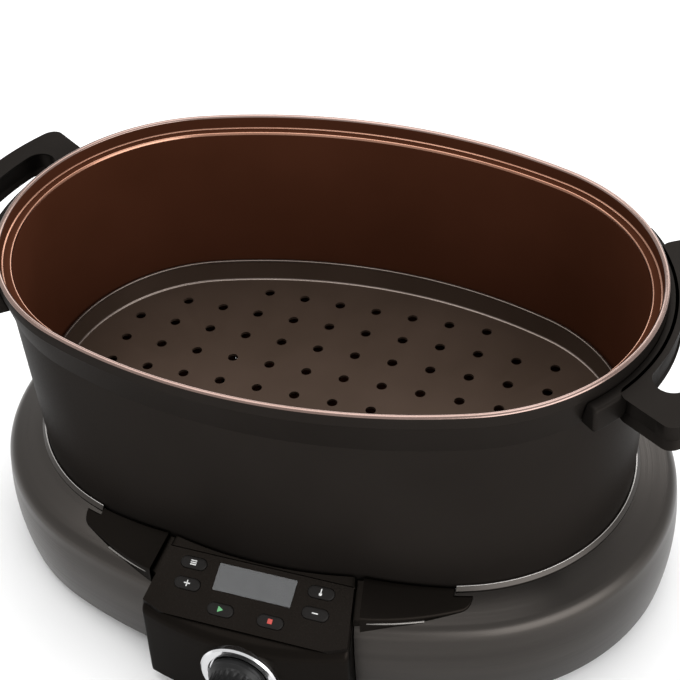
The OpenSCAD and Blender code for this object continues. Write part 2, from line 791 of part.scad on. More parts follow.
// The wings' crescent in front of one large arc, with a round outer corner at each tip
tip_x = wing_half_span - wing_tip_radius;
tip_y = wing_centre_y - sqrt(pow(wing_radius - wing_tip_radius + 0.3, 2) - tip_x * tip_x);
module wing_plan(grow) {
  difference() {
    intersection() {
      translate([0, wing_centre_y]) circle(wing_radius + grow);
      translate([0, -rim_half_width]) square([2 * wing_half_span, rim_half_width], center = true);
    }
    for (s = [-1, 1]) difference() {
      translate([s > 0 ? tip_x : -tip_x - 40, tip_y - 40]) square(40);
      translate([s * tip_x, tip_y]) circle(wing_tip_radius);
    }
  }
}

// The space under a wing's face, which tilts towards the viewer and rises towards the nose
wing_rise = 14.1;
wing_fall = 21.7;
module wing_half_space(lift) {
  translate([-105, panel_y + 20.5, base_height + 0.3 + lift])
    rotate([wing_fall, -wing_rise, 0])
      translate([-150, -150, -120]) cube([300, 300, 120]);
}

module panel_half_space(lift) {
  translate([0, panel_y, panel_z + lift]) rotate([panel_slope, 0, 0])
    translate([-200, -200, -120]) cube([400, 400, 120]);
}

module wing(side) {
  mirror([side > 0 ? 1 : 0, 0, 0]) intersection() {
    difference() {
      translate([0, 0, base_height - 22]) linear_extrude(40) difference() {
        intersection() {
          wing_plan(0);
          translate([-2 * rim_half_length, -2 * rim_half_width])
            square([2 * rim_half_length, 2 * rim_half_width]);
        }
        oval(console_off);
        nose_plan(seam_width);
      }
      wrap_solid(hair / 2);
      ring_clear();
    }
    wing_half_space(0);
  }
}

// The space of the wrap, for cutting what lies on it
module wrap_section(grow) {
  inner = -ring_off - 3;
  polygon(concat(
    [[inner, 0], [wrap_reach - 4, 0]],
    wrap_line(-grow),
    [[inner, shoulder_top(inner) + grow / cos(shoulder_slope)]]
  ));
}

module wrap_solid(grow) {
  sweep() wrap_section(grow);
}

// The space of the ring where it runs on over a wing's tip
module ring_clear() {
  difference() {
    sweep() translate([-ring_off - 2, shoulder_top(wrap_top_x) - 3])
      square([wrap_top_x + ring_off + 3.9 + slip, 20]);
    translate([-ring_gap_half + slip, -2 * rim_half_width, 0])
      cube([2 * (ring_gap_half - slip), 2 * rim_half_width, 2 * base_height]);
  }
}

nose_edge_radius = 7;
nose_bottom = foot_height + 1;
function panel_height(y, drop) = panel_z + (y - panel_y) * tan(panel_slope) - drop / cos(panel_slope);

module nose_side_profile(inset) {
  low = inset > 0 ? 0 : nose_bottom;
  front = nose_front + inset;
  rear = -rim_half_width * 0.5;
  radius = nose_edge_radius - inset * 0.5;
  centre_y = front + radius;
  centre_z = panel_height(centre_y, inset) - radius / cos(panel_slope);
  polygon(concat(
    [[rear, low], [rear, panel_height(rear, inset)]],
    reversed(arc(centre_y, centre_z, radius, 180, 90 + panel_slope, 6)),
    [[front, low]]
  ));
}

// The nose, or with an inset the hollow inside its walls, which is open below
module nose_solid(inset) {
  intersection() {
    linear_extrude(2 * base_height) nose_plan(-inset);
    rotate([90, 0, 90]) translate([0, 0, -100]) linear_extrude(200) nose_side_profile(inset);
  }
}

// The seam's floor joins each wing to the nose
module seam_floor() {
  intersection() {
    difference() {
      translate([0, 0, base_height - 22]) linear_extrude(40) difference() {
        intersection() {
          nose_plan(seam_width + 0.5);
          wing_plan(-1.5);
        }
        oval(console_off);
      }
      wrap_solid(hair / 2);
      nose_cut(-1);
    }
    panel_half_space(-3.5);
  }
}

bezel_radius = knob_radius + 6;
collar_radius = knob_radius + 2;
dial_z = cover_top + bezel_radius + 1.7;
dial_front = nose_front - 0.8;
boss_back = nose_front + 6;

module dial_axis(y) {
  translate([0, y, dial_z]) rotate([90, 0, 0]) children();
}

module on_panel() {
  translate([0, panel_y, panel_z]) rotate([panel_slope, 0, 0]) children();
}

module at_spots(spots, z) {
  on_panel() for (spot = spots) translate([spot[0], spot[1], z]) children();
}

module display_block(inset, z, height) {
  translate([-display_half_x + inset, display_y - display_half_y + inset, z])
    cube([2 * (display_half_x - inset), 2 * (display_half_y - inset), height]);
}

module console_housing() color([0.07, 0.07, 0.07]) {
  for (side = [-1, 1]) wing(side);
  seam_floor();
  difference() {
    nose_solid(0);
    difference() {
      nose_solid(console_wall);
      at_spots(board_spots, board_top) cylinder(r = 2.2, h = 30);
      dial_axis(boss_back) cylinder(r = bezel_radius + 1, h = 40);
    }
    translate([-100, -rim_half_width, 0]) cube([200, 200, base_height - 16]);
    on_panel() {
      translate([-panel_cut_half, -60, -panel_drop]) cube([2 * panel_cut_half, 58, 20]);
      display_block(0, -10, 20);
    }
    at_spots(button_spots, -panel_drop - 4) stadium(button_lip + slip, 8);
    at_spots(board_spots, board_top - 1) cylinder(r = board_screw_radius + 0.05, h = 6);
    dial_axis(nose_front + 2) cylinder(r = bezel_radius + 0.2, h = 30);
    dial_axis(nose_front + 20) cylinder(r = collar_radius + 0.1, h = 30);
  }
}

// The bead ends square, short of the wing's tip and of the nose
bead_end = wing_half_span - 21;
bead_start = nose_half_width + seam_width + 6;
module console_bead() color([0.9, 0.9, 0.92]) {
  $fn = 360;
  for (side = [-1, 1]) mirror([side > 0 ? 1 : 0, 0, 0]) intersection() {
    difference() {
      translate([-bead_end, 0, base_height - 22]) linear_extrude(40) intersection() {
        difference() {
          translate([bead_end, wing_centre_y]) circle(wing_radius + bead_width + hair);
          translate([bead_end, wing_centre_y]) circle(wing_radius + hair);
        }
        translate([0, -2 * rim_half_width]) square([bead_end - bead_start, 2 * rim_half_width]);
      }
      translate([0, side_centre, 0]) rotate_extrude() translate([side_radius, 0]) wrap_section(hair);
    }
    wing_half_space(0.4);
  }
}

// Control panel with its window, buttons and board, in the frame of the sloping face
panel_drop = 1.8;
panel_cut_half = 66;
board_gap = 8;
board_half_x = 45;
board_front = -37.5;
board_rear = -8.5;
board_spots = [[-24.8, -13], [24.8, -13], [-38, -30.5], [38, -30.5]];
button_lip = 1.2;
display_half_x = 22;
display_half_y = 7.5;
display_y = -13;
button_spots = [[-36, -9], [36, -9], [-36, -20.5], [36, -20.5], [-14, -30], [14, -30]];
board_top = -panel_drop - board_gap;

// A button's outline with round ends, grown on all sides
module stadium(grow, height) {
  half = (button_length - button_width) / 2;
  radius = button_width / 2 + grow;
  for (s = [-1, 1]) translate([s * half, 0, 0]) cylinder(r = radius, h = height);
  translate([-half, -radius, 0]) cube([2 * half, 2 * radius, height]);
}

module control_panel() color([0.1, 0.1, 0.11]) difference() {
  intersection() {
    linear_extrude(2 * base_height) nose_plan(-0.8);
    on_panel() translate([-panel_cut_half, -38.5, -panel_drop + 0.02])
      cube([2 * panel_cut_half, 36, panel_drop + 0.5]);
  }
  on_panel() display_block(0, -5, 10);
  at_spots(button_spots, -5) stadium(0.25, 10);
}

module display_window() color([0.02, 0.05, 0.06])
  on_panel() display_block(hair, -panel_drop + hair, panel_drop + 0.6 - hair);

module display_module() color([0.2, 0.2, 0.2])
  on_panel() display_block(1.2, board_top, board_gap - 0.2);

button_rise = 1.9;
button_stem = 2.6;
module button(index) {
  at_spots([button_spots[index]], -panel_drop) {
    translate([0, 0, -1.2]) stadium(0, panel_drop + 1.2 + button_rise);
    translate([0, 0, -1.3]) stadium(button_lip, 1.1);
    translate([0, 0, -button_stem]) cylinder(r = 2, h = 2);
  }
}

module program_button() color([0.25, 0.25, 0.26]) button(0);
module temperature_button() color([0.25, 0.25, 0.26]) button(1);
module plus_button() color([0.25, 0.25, 0.26]) button(2);
module minus_button() color([0.25, 0.25, 0.26]) button(3);
module start_button() color([0.25, 0.45, 0.28]) button(4);
module stop_button() color([0.5, 0.2, 0.18]) button(5);

board_screw_radius = 0.9;
module control_board() color([0.1, 0.35, 0.2]) difference() {
  on_panel() translate([-board_half_x, board_front, board_top - board_sheet])
    cube([2 * board_half_x, board_rear - board_front, board_sheet]);
  at_spots(board_spots, board_top - 3) cylinder(r = board_screw_radius + 0.3, h = 6);
}

module button_switches() color([0.3, 0.3, 0.3])
  at_spots(button_spots, board_top) {
    translate([-3, -3, 0]) cube([6, 6, 2.8]);
    cylinder(r = 1.75, h = board_gap - button_stem - button_travel - slip);
  }

module board_screws() color("silver")
  at_spots(board_spots, board_top - board_sheet) {
    translate([0, 0, -1.2]) cylinder(r = 2, h = 1.2);
    translate([0, 0, -0.6]) cylinder(r = board_screw_radius, h = 5);
  }

// Dial: bezel, knob, shaft and encoder
shaft_radius = 3;
knob_back = dial_front - 1.9;
bezel_boss_back = boss_back + 2;
module dial_bezel() color([0.8, 0.8, 0.82]) dial_axis(0) rotate_extrude() polygon([
  [shaft_radius + shaft_clearance, -bezel_boss_back],
  [8, -bezel_boss_back],
  [8, -nose_front - 3.5],
  [collar_radius, -nose_front - 3.5],
  [collar_radius, -nose_front - 2 + hair / 2],
  [bezel_radius, -nose_front - 2 + hair / 2],
  [bezel_radius, -dial_front + 0.6],
  [bezel_radius - 1, -dial_front + 1.6],
  [knob_radius + 1.5, -dial_front + 1.6],
  [knob_radius + 0.8, -dial_front + 0.4],
  [shaft_radius + shaft_clearance, -dial_front + 0.4]
]);

module selector_knob() color([0.12, 0.12, 0.12]) difference() {
  dial_axis(knob_back + 0.9) union() {
    cylinder(r = knob_radius, h = 4);
    translate([0, 0, 4]) cylinder(r1 = knob_radius, r2 = knob_radius - 2, h = 2);
    cylinder(r = knob_radius - 2, h = knob_depth - 1);
    translate([0, 0, knob_depth - 1]) cylinder(r1 = knob_radius - 2, r2 = knob_radius - 3, h = 1);
    translate([-1.2, 6, knob_depth - 0.5]) cube([2.4, knob_radius - 9, 1.1]);
  }
  dial_axis(knob_back + 2) cylinder(r = shaft_radius + 0.02, h = knob_depth - 3);
}

module selector_shaft() color("silver") {
  dial_axis(boss_back + 5) cylinder(r = shaft_radius, h = boss_back + 5 - knob_back + knob_depth - 5);
}

module selector_encoder() color([0.3, 0.3, 0.32]) difference() {
  translate([-7, bezel_boss_back + hair / 2, dial_z - 7]) cube([14, 9, 14]);
  dial_axis(bezel_boss_back + 8) cylinder(r = shaft_radius + shaft_clearance, h = 20);
}

cooking_pot();
left_handle();
right_handle();
left_handle_bracket();
right_handle_bracket();
handle_screws();
rack_tray();
rack_stands();
base_wrap();
base_ring();
heating_well();
console_housing();
console_bead();
control_panel();
display_window();
display_module();
program_button();
temperature_button();
plus_button();
minus_button();
start_button();
stop_button();
control_board();
button_switches();
board_screws();
dial_bezel();
selector_knob();
selector_shaft();
selector_encoder();
heating_plate();
heating_element();
plate_posts();
sensor_plunger();
sensor_spring();
sensor_guide();
thermal_fuse();
heat_shield();
power_board();
power_relay();
transformer();
board_spacers();
bottom_cover();
cover_screws();
rubber_feet();
inlet_socket();
inlet_pins();
inlet_screws();
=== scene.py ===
"""Looks of the oval multicooker: pot, rack and handles on a heating base with a front console.

Lengths are in millimetres until a surface is made, and then in metres, in the part's own frame:
the origin is on the counter under the middle of the pot, +X runs to the right handle and the
console faces -Y. A section point is told by its distance outside the rim's outline and its height.
"""
import logging
import math
from collections.abc import Callable, Sequence
from dataclasses import dataclass
from enum import Enum, IntEnum

import bmesh
import bpy
import numpy as np
from mathutils import Matrix, Vector


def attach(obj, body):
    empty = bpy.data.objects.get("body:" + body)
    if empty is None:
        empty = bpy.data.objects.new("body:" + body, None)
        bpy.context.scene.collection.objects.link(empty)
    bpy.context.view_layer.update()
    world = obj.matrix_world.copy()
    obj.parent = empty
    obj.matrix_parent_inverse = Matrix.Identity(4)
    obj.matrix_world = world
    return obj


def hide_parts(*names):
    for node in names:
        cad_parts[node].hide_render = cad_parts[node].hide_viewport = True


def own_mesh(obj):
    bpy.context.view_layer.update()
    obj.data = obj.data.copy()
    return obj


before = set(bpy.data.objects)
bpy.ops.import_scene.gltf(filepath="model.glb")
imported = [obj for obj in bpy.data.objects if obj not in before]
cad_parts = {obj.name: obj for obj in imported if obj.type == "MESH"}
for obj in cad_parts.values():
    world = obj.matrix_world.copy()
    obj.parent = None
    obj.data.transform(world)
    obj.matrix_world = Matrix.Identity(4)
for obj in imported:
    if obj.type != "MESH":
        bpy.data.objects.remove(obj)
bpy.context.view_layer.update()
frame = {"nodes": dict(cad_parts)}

MM = 0.001
LOG = logging.getLogger("multicooker")
Point = tuple[float, float]
Triple = tuple[float, float, float]
Socket = bpy.types.NodeSocket

OUTLINE_SAMPLES = 4001   # points of the sum that measures the outline
HALVINGS = 48            # steps of a search by halving
ARC_SHARE = 0.48         # the most of a side that one corner's arc takes up
NEARLY_STRAIGHT = 0.01   # radians short of straight at which a corner stays a point
WELD = 0.0005            # millimetres within which the points of a pole become one
CONSOLE_WELD = 0.002     # the same for the console's pointed ends
KNOB_WELD = 0.03         # the same for the knob's two poles
SLIVER = 1e-7            # metres below which an edge is dropped
SMOOTH = 32.0            # degrees up to which faces are shaded as one surface
CONSOLE_SMOOTH = 28.0    # the same for the console's crisper edges
GRIP_SMOOTH = 40.0       # the same for the knob and the handles
ROUND_STEP = 3.0         # millimetres between sections round the oval
BASE_LOW = 7.0           # height of the lower edge of the wrap and of the console
RING_GAP = 102.0         # |x| of the ring's two ends


# Shapes on the oval

@dataclass(frozen=True)
class Oval:
    """The rim's outline: four arcs whose centres stay put, so an inset keeps a true distance."""

    end_radius: float = 112.4
    unit: float = 1.65
    legs: Triple = (44.0, 117.0, 125.0)     # a right triangle's sides, in units

    @property
    def end_centre(self) -> float:
        """X of the right end arc's centre."""
        return self.legs[0] * self.unit

    @property
    def side_centre(self) -> float:
        """Y of the front side arc's centre."""
        return self.legs[1] * self.unit

    @property
    def side_radius(self) -> float:
        """Radius of the two side arcs."""
        return self.end_radius + self.legs[2] * self.unit

    @property
    def turn_cosine(self) -> float:
        """Cosine of the heading at which an end arc meets a side arc."""
        return self.legs[0] / self.legs[2]

    def place(self, heading: np.ndarray, out: np.ndarray | float) -> np.ndarray:
        """Points of the oval, told by the heading of their outward normal.

        A point is the arc's centre plus (radius + out) times (cos h, sin h). The side arcs hold
        where |cos h| is less than the short leg over the long one, and the end arcs elsewhere.

        Args:
            heading: headings in radians, of any shape.
            out: distance outside the rim's outline, in the same shape or a single number.

        Returns:
            An array with x and y in its last axis.
        """
        c, s = np.cos(heading), np.sin(heading)
        side = np.abs(c) < self.turn_cosine
        cx = np.where(side, 0.0, np.sign(c) * self.end_centre)
        cy = np.where(side, -np.sign(s) * self.side_centre, 0.0)
        radius = np.where(side, self.side_radius, self.end_radius) + out
        return np.stack([cx + radius * c, cy + radius * s], axis=-1)

    def headings(self, start: float, stop: float, step: float) -> np.ndarray:
        """Headings from start to stop that lie evenly along the outline.

        The length along the outline is the integral of the local radius over the heading, and it is
        inverted by interpolation.

        Args:
            start: first heading in radians.
            stop: last heading in radians.
            step: distance between neighbours in millimetres.

        Returns:
            The headings, with both ends.
        """
        dense = np.linspace(start, stop, OUTLINE_SAMPLES)
        side = np.abs(np.cos(dense)) < self.turn_cosine
        radius = np.where(side, self.side_radius, self.end_radius)
        pieces = (radius[1:] + radius[:-1]) / 2 * np.diff(dense)
        length = np.concatenate([[0.0], np.cumsum(pieces)])
        count = max(2, int(round(length[-1] / step)) + 1)
        return np.interp(np.linspace(0.0, length[-1], count), length, dense)

    def front_headings(self, out: np.ndarray,
                       limit: Callable[[np.ndarray], np.ndarray | float]) -> np.ndarray:
        """Headings at the front right where x comes up to a limit, found by halving.

        Args:
            out: distances outside the rim of the curves that are followed.
            limit: the x to reach, for a given y.

        Returns:
            One heading for each curve, between straight ahead and straight right.
        """
        low, high = np.full(out.shape, -math.pi / 2), np.zeros(out.shape)
        for _ in range(HALVINGS):
            middle = (low + high) / 2
            spot = self.place(middle, out)
            short = spot[..., 0] < limit(spot[..., 1])
            low, high = np.where(short, middle, low), np.where(short, high, middle)
        return low

    def round_back(self, starts: np.ndarray, step: float) -> np.ndarray:
        """Headings from the front right round the back to the same places at the front left.

        Args:
            starts: first heading of each curve.
            step: distance between neighbours in millimetres.

        Returns:
            Headings, sections by curves.
        """
        first = float(starts.mean())
        line = self.headings(first, math.pi - first, step)
        share = (line - first) / (math.pi - 2 * first)
        return starts + share[:, None] * (math.pi - 2 * starts)

    def edge_y(self, x: np.ndarray, out: float) -> np.ndarray:
        """Y of the front half of the curve that lies out beyond the rim.

        It is the end arc's root beyond the two arcs' joint, and the side arc's root before it.

        Args:
            x: distances from the middle.
            out: distance outside the rim's outline.

        Returns:
            Y at each x.
        """
        a = np.abs(x)
        end = np.sqrt(np.maximum((self.end_radius + out) ** 2 - (a - self.end_centre) ** 2, 0.0))
        side = np.sqrt((self.side_radius + out) ** 2 - a ** 2) - self.side_centre
        joint = self.end_centre + (self.end_radius + out) * self.turn_cosine
        return -np.where(a > joint, end, side)


OVAL = Oval()


def rounded(corners: Sequence[Triple], steps: int = 6, closed: bool = True) -> np.ndarray:
    """A polygon whose corners are arcs.

    At each corner the arc has its centre on the bisector, at radius over the sine of the half
    angle, and it touches both sides. A radius that is too large for its sides is cut to fit.

    Args:
        corners: x, y and radius of each corner, in order.
        steps: number of segments in an arc.
        closed: whether the last corner is joined to the first.

    Returns:
        An array of points, two columns.
    """
    points = np.array([c[:2] for c in corners], float)
    out: list[np.ndarray] = []
    count = len(points)
    for i, (*_, radius) in enumerate(corners):
        here = points[i]
        if radius <= 0 or (not closed and i in (0, count - 1)):
            out.append(here[None])
            continue
        back, ahead = points[i - 1] - here, points[(i + 1) % count] - here
        lengths = np.hypot(*back), np.hypot(*ahead)
        back, ahead = back / lengths[0], ahead / lengths[1]
        half = math.acos(float(np.clip(back @ ahead, -1, 1))) / 2
        if half > math.pi / 2 - NEARLY_STRAIGHT:
            out.append(here[None])
            continue
        reach = min(radius / math.tan(half), ARC_SHARE * min(lengths))
        radius = reach * math.tan(half)
        bisector = (back + ahead) / np.hypot(*(back + ahead))
        centre = here + bisector * radius / math.sin(half)
        first, last = here + back * reach - centre, here + ahead * reach - centre
        a, b = math.atan2(first[1], first[0]), math.atan2(last[1], last[0])
        b = a + (b - a + math.pi) % (2 * math.pi) - math.pi
        t = np.linspace(a, b, steps + 1)
        out.append(centre + radius * np.stack([np.cos(t), np.sin(t)], 1))
    return np.concatenate(out)


# Meshes

class Shell:
    """Collects closed surfaces that make one piece."""

    def __init__(self) -> None:
        """Starts empty."""
        self.points: list[np.ndarray] = []
        self.faces: list[list[int]] = []
        self.uvs: list[list[Point]] = []
        self.slots: list[int] = []
        self.count = 0

    def grid(self, grid: np.ndarray, loop_u: bool = False, loop_v: bool = True,
             slot: int | np.ndarray = 0) -> "Shell":
        """Adds a surface whose point (u, v) is a grid's entry, with a face between four neighbours.

        The UV of a point is its mean length along the grid in u and in v, in metres. Where only the
        columns loop, the first and the last row are closed by a face.

        Args:
            grid: points in millimetres, of shape (rows, columns, 3).
            loop_u: whether the last row joins the first.
            loop_v: whether the last column joins the first.
            slot: the material slot, or one for each column of faces.

        Returns:
            The shell itself.
        """
        rows, columns = grid.shape[:2]
        closed = grid
        if loop_u:
            closed = np.concatenate([closed, closed[:1]], axis=0)
        if loop_v:
            closed = np.concatenate([closed, closed[:, :1]], axis=1)
        du = np.linalg.norm(np.diff(closed, axis=0), axis=2).mean(axis=1)
        dv = np.linalg.norm(np.diff(closed, axis=1), axis=2).mean(axis=0)
        u = np.concatenate([[0.0], np.cumsum(du)]) * MM
        v = np.concatenate([[0.0], np.cumsum(dv)]) * MM
        i, j = np.meshgrid(np.arange(len(du)), np.arange(len(dv)), indexing="ij")
        i, j = i.ravel(), j.ravel()
        ni, nj = (i + 1) % rows, (j + 1) % columns
        corners = np.stack(
            [i * columns + j, ni * columns + j, ni * columns + nj, i * columns + nj], 1)
        uv = np.stack([np.stack([u[i], v[j]], 1), np.stack([u[i + 1], v[j]], 1),
                       np.stack([u[i + 1], v[j + 1]], 1), np.stack([u[i], v[j + 1]], 1)], 1)
        self.faces += (corners + self.count).tolist()
        self.uvs += uv.tolist()
        per_column = np.broadcast_to(np.asarray(slot), (len(dv),))
        self.slots += per_column[j].tolist()
        if loop_v and not loop_u:
            for row in (0, rows - 1):
                self.faces.append((np.arange(columns) + row * columns + self.count).tolist())
                self.uvs.append([(0.0, 0.0)] * columns)
                self.slots.append(int(per_column[0]))
        self.points.append(grid.reshape(-1, 3))
        self.count += rows * columns
        return self

    def make(self, name: str, body: str, *finishes: bpy.types.Material, smooth: float = SMOOTH,
             merge: float = 0.0) -> bpy.types.Object:
        """Makes the piece: closed, facing outwards, and smooth where its faces nearly line up.

        Args:
            name: the piece's name.
            body: the CAD body that it rides on.
            finishes: materials, in the order of the slots.
            smooth: the largest angle, in degrees, that is shaded as smooth.
            merge: distance in millimetres within which points become one, or 0.

        Returns:
            The object, at the origin.
        """
        mesh = bpy.data.meshes.new(name)
        points = np.concatenate(self.points) * MM
        mesh.from_pydata(points.tolist(), [], self.faces)
        layer = mesh.uv_layers.new(name="along")
        flat = [np.asarray(corners, float).ravel() for corners in self.uvs]
        layer.data.foreach_set("uv", np.concatenate(flat))
        mesh.polygons.foreach_set("material_index", self.slots)
        work = bmesh.new()
        work.from_mesh(mesh)
        if merge > 0:
            bmesh.ops.remove_doubles(work, verts=work.verts, dist=merge * MM)
            bmesh.ops.dissolve_degenerate(work, edges=work.edges, dist=SLIVER)
        bmesh.ops.recalc_face_normals(work, faces=work.faces)
        work.to_mesh(mesh)
        work.free()
        mesh.shade_smooth()
        mesh.set_sharp_from_angle(angle=math.radians(smooth))
        for finish in finishes:
            mesh.materials.append(finish)
        piece = bpy.data.objects.new(name, mesh)
        bpy.context.scene.collection.objects.link(piece)
        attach(piece, body)
        LOG.info("made %s with %d faces", name, len(mesh.polygons))
        return piece


def sweep(profile: np.ndarray, headings: np.ndarray, oval: Oval) -> np.ndarray:
    """Carries a profile round the oval.

    The point (u, v) is the oval's point at heading u, set out by the profile's x at v, at the
    profile's height at v.

    Args:
        profile: distance outside the rim and height, one row a point.
        headings: the headings to stop at, alike for the whole profile or one for each point.
        oval: the outline.

    Returns:
        A grid of points, headings by profile points.
    """
    if headings.ndim == 1:
        headings = headings[:, None] * np.ones(len(profile))
    flat = oval.place(headings, profile[None, :, 0])
    height = np.broadcast_to(profile[None, :, 1:2], flat.shape[:2] + (1,))
    return np.concatenate([flat, height], axis=2)


def poles(count: int, height: float) -> np.ndarray:
    """A column of a grid that lies in one point on the vertical axis."""
    return np.tile([[[0.0, 0.0, height]]], (count, 1, 1))


def ends_rounded(grid: np.ndarray, radius: float, steps: int) -> np.ndarray:
    """Rounds the two ends of a rod whose sections are the grid's rows.

    At each end the section is drawn in by radius times (1 - cos a) on every side, while it moves
    out by radius times sin a from where the rounding starts, for a from 0 to a right angle.

    Args:
        grid: sections by points.
        radius: the rounding's radius in millimetres.
        steps: number of added sections at each end.

    Returns:
        The longer grid, which ends where the old one did.
    """
    def one_end(section: np.ndarray, inner: np.ndarray) -> list[np.ndarray]:
        """The rounding's sections at one end.

        Args:
            section: the end's section.
            inner: the section before it, which tells the way out.

        Returns:
            The sections, from where the rounding starts to its tip.
        """
        least_size, tiny = 0.05, 1e-6
        middle = section.mean(axis=0)
        outward = (section - inner).mean(axis=0)
        outward /= np.linalg.norm(outward)
        spread = section - middle
        size = np.maximum(np.linalg.norm(spread, axis=1, keepdims=True), tiny)
        angles = np.linspace(0.0, math.pi / 2, steps + 1)
        smaller = [np.maximum(1 - radius * (1 - math.cos(a)) / size, least_size) for a in angles]
        return [middle + spread * k + outward * radius * (math.sin(a) - 1)
                for a, k in zip(angles, smaller)]

    first = one_end(grid[0], grid[1])
    last = one_end(grid[-1], grid[-2])
    return np.concatenate([np.array(first[::-1]), grid[1:-1], np.array(last)])


def revolve(profile: np.ndarray, origin: Triple, axis: Triple, count: int,
            wave: Callable[[np.ndarray, np.ndarray], np.ndarray] | None = None) -> np.ndarray:
    """Turns a profile about an axis.

    The point (u, v) is origin + axis * height(v) + radius(v) * (side * cos u + other * sin u).

    Args:
        profile: radius and height along the axis, one row a point.
        origin: a point on the axis.
        axis: the axis, of any length, and not along X.
        count: number of sections.
        wave: an optional change of radius as a function of the angle and of the profile's rows.

    Returns:
        A grid of points, angles by profile points.
    """
    along = np.asarray(axis, float) / np.linalg.norm(axis)
    side = np.cross(np.array([1.0, 0, 0]), along)
    side /= np.linalg.norm(side)
    other = np.cross(along, side)
    angle = np.linspace(0, 2 * math.pi, count, endpoint=False)[:, None]
    radius = np.broadcast_to(profile[None, :, 0], (count, len(profile)))
    if wave is not None:
        radius = radius + wave(angle, profile)
    ring = side * np.cos(angle)[..., None] + other * np.sin(angle)[..., None]
    return np.asarray(origin) + along * profile[None, :, 1:2] + radius[..., None] * ring


# Finishes

class Nodes:
    """A material's node tree with short calls for what the finishes need."""

    def __init__(self, name: str) -> None:
        """Makes the material with one principled shader.

        Args:
            name: the material's name.
        """
        self.material = bpy.data.materials.new(name)
        self.material.use_nodes = True
        self.tree = self.material.node_tree
        self.shader = self.tree.nodes["Principled BSDF"]

    def join(self, start: Socket, end: Socket) -> None:
        """Links an output to an input."""
        self.tree.links.new(start, end)

    def feed(self, socket: str, value: Socket) -> None:
        """Links a value or colour to one of the shader's sockets."""
        self.join(value, self.shader.inputs[socket])

    def set(self, **values: float | tuple[float, ...]) -> None:
        """Sets sockets of the shader by name, with underscores for spaces."""
        for key, value in values.items():
            self.shader.inputs[key.replace("_", " ")].default_value = value

    def where(self, stretch: Triple = (1, 1, 1), by_length: bool = False) -> Socket:
        """Places on the piece, scaled along each axis.

        Args:
            stretch: the scale along each axis.
            by_length: whether the places are the piece's own lengths, and not Object coordinates.

        Returns:
            The places.
        """
        source = self.tree.nodes.new("ShaderNodeTexCoord")
        mapping = self.tree.nodes.new("ShaderNodeMapping")
        mapping.inputs["Scale"].default_value = stretch
        self.join(source.outputs["UV" if by_length else "Object"], mapping.inputs["Vector"])
        return mapping.outputs["Vector"]

    def noise(self, vector: Socket, scale: float, detail: float, rough: float = 0.5) -> Socket:
        """A noise of several octaves.

        Args:
            vector: the places.
            scale: spots a metre.
            detail: number of octaves.
            rough: how much each finer octave adds.

        Returns:
            The noise's factor.
        """
        node = self.tree.nodes.new("ShaderNodeTexNoise")
        node.inputs["Scale"].default_value = scale
        node.inputs["Detail"].default_value = detail
        node.inputs["Roughness"].default_value = rough
        self.join(vector, node.inputs["Vector"])
        return node.outputs["Fac"]

    def spread(self, value: Socket, low: float, high: float) -> Socket:
        """Maps a noise's usual range to the range between two numbers.

        Args:
            value: the noise's factor.
            low: what the range's start becomes.
            high: what its end becomes.

        Returns:
            The result.
        """
        node = self.tree.nodes.new("ShaderNodeMapRange")
        limits = {"From Min": 0.3, "From Max": 0.7, "To Min": low, "To Max": high}
        for key, number in limits.items():
            node.inputs[key].default_value = number
        self.join(value, node.inputs["Value"])
        return node.outputs["Result"]

    def colours(self, value: Socket, ends: Point, dark: Triple, light: Triple) -> Socket:
        """A ramp between two colours.

        Args:
            value: the noise's factor.
            ends: the factors at which the two colours are reached.
            dark: the first colour.
            light: the last colour.

        Returns:
            The colour.
        """
        node = self.tree.nodes.new("ShaderNodeValToRGB")
        for stop, at, colour in zip(node.color_ramp.elements, ends, (dark, light)):
            stop.position = at
            stop.color = (*colour, 1)
        self.join(value, node.inputs["Fac"])
        return node.outputs["Color"]

    def bump(self, height: Socket, strength: float, distance: float) -> None:
        """Sends a height to the shader's normal.

        Args:
            height: the height's factor.
            strength: how much of the bump is used.
            distance: the height of a factor of one, in metres.
        """
        node = self.tree.nodes.new("ShaderNodeBump")
        node.inputs["Strength"].default_value = strength
        node.inputs["Distance"].default_value = distance
        self.join(height, node.inputs["Height"])
        self.feed("Normal", node.outputs["Normal"])


@dataclass(frozen=True)
class Finish:
    """A surface with a fine grain: two near colours, two near roughnesses and a small bump."""

    name: str
    dark: Triple
    light: Triple
    rough: Point = (0.35, 0.45)
    metallic: float = 0.0
    grain: float = 900.0      # spots a metre in the bump and the roughness
    depth: float = 0.00002    # the bump's height in metres
    strength: float = 0.3
    specular: float = 0.5
    tint: float = 1.0         # how bright the reflection at a grazing angle is
    patches: float = 14.0     # spots a metre in the colour
    ends: Point = (0.32, 0.68)

    def make(self) -> bpy.types.Material:
        """Builds the material.

        Returns:
            The material.
        """
        nodes = Nodes(self.name)
        nodes.set(Metallic=self.metallic, Specular_IOR_Level=self.specular,
                  Specular_Tint=(self.tint, self.tint, self.tint, 1.0))
        where = nodes.where()
        wide = nodes.noise(where, self.patches, detail=4.0)
        fine = nodes.noise(where, self.grain, detail=2.0, rough=0.6)
        nodes.feed("Base Color", nodes.colours(wide, self.ends, self.dark, self.light))
        nodes.feed("Roughness", nodes.spread(fine, *self.rough))
        nodes.bump(fine, self.strength, self.depth)
        return nodes.material


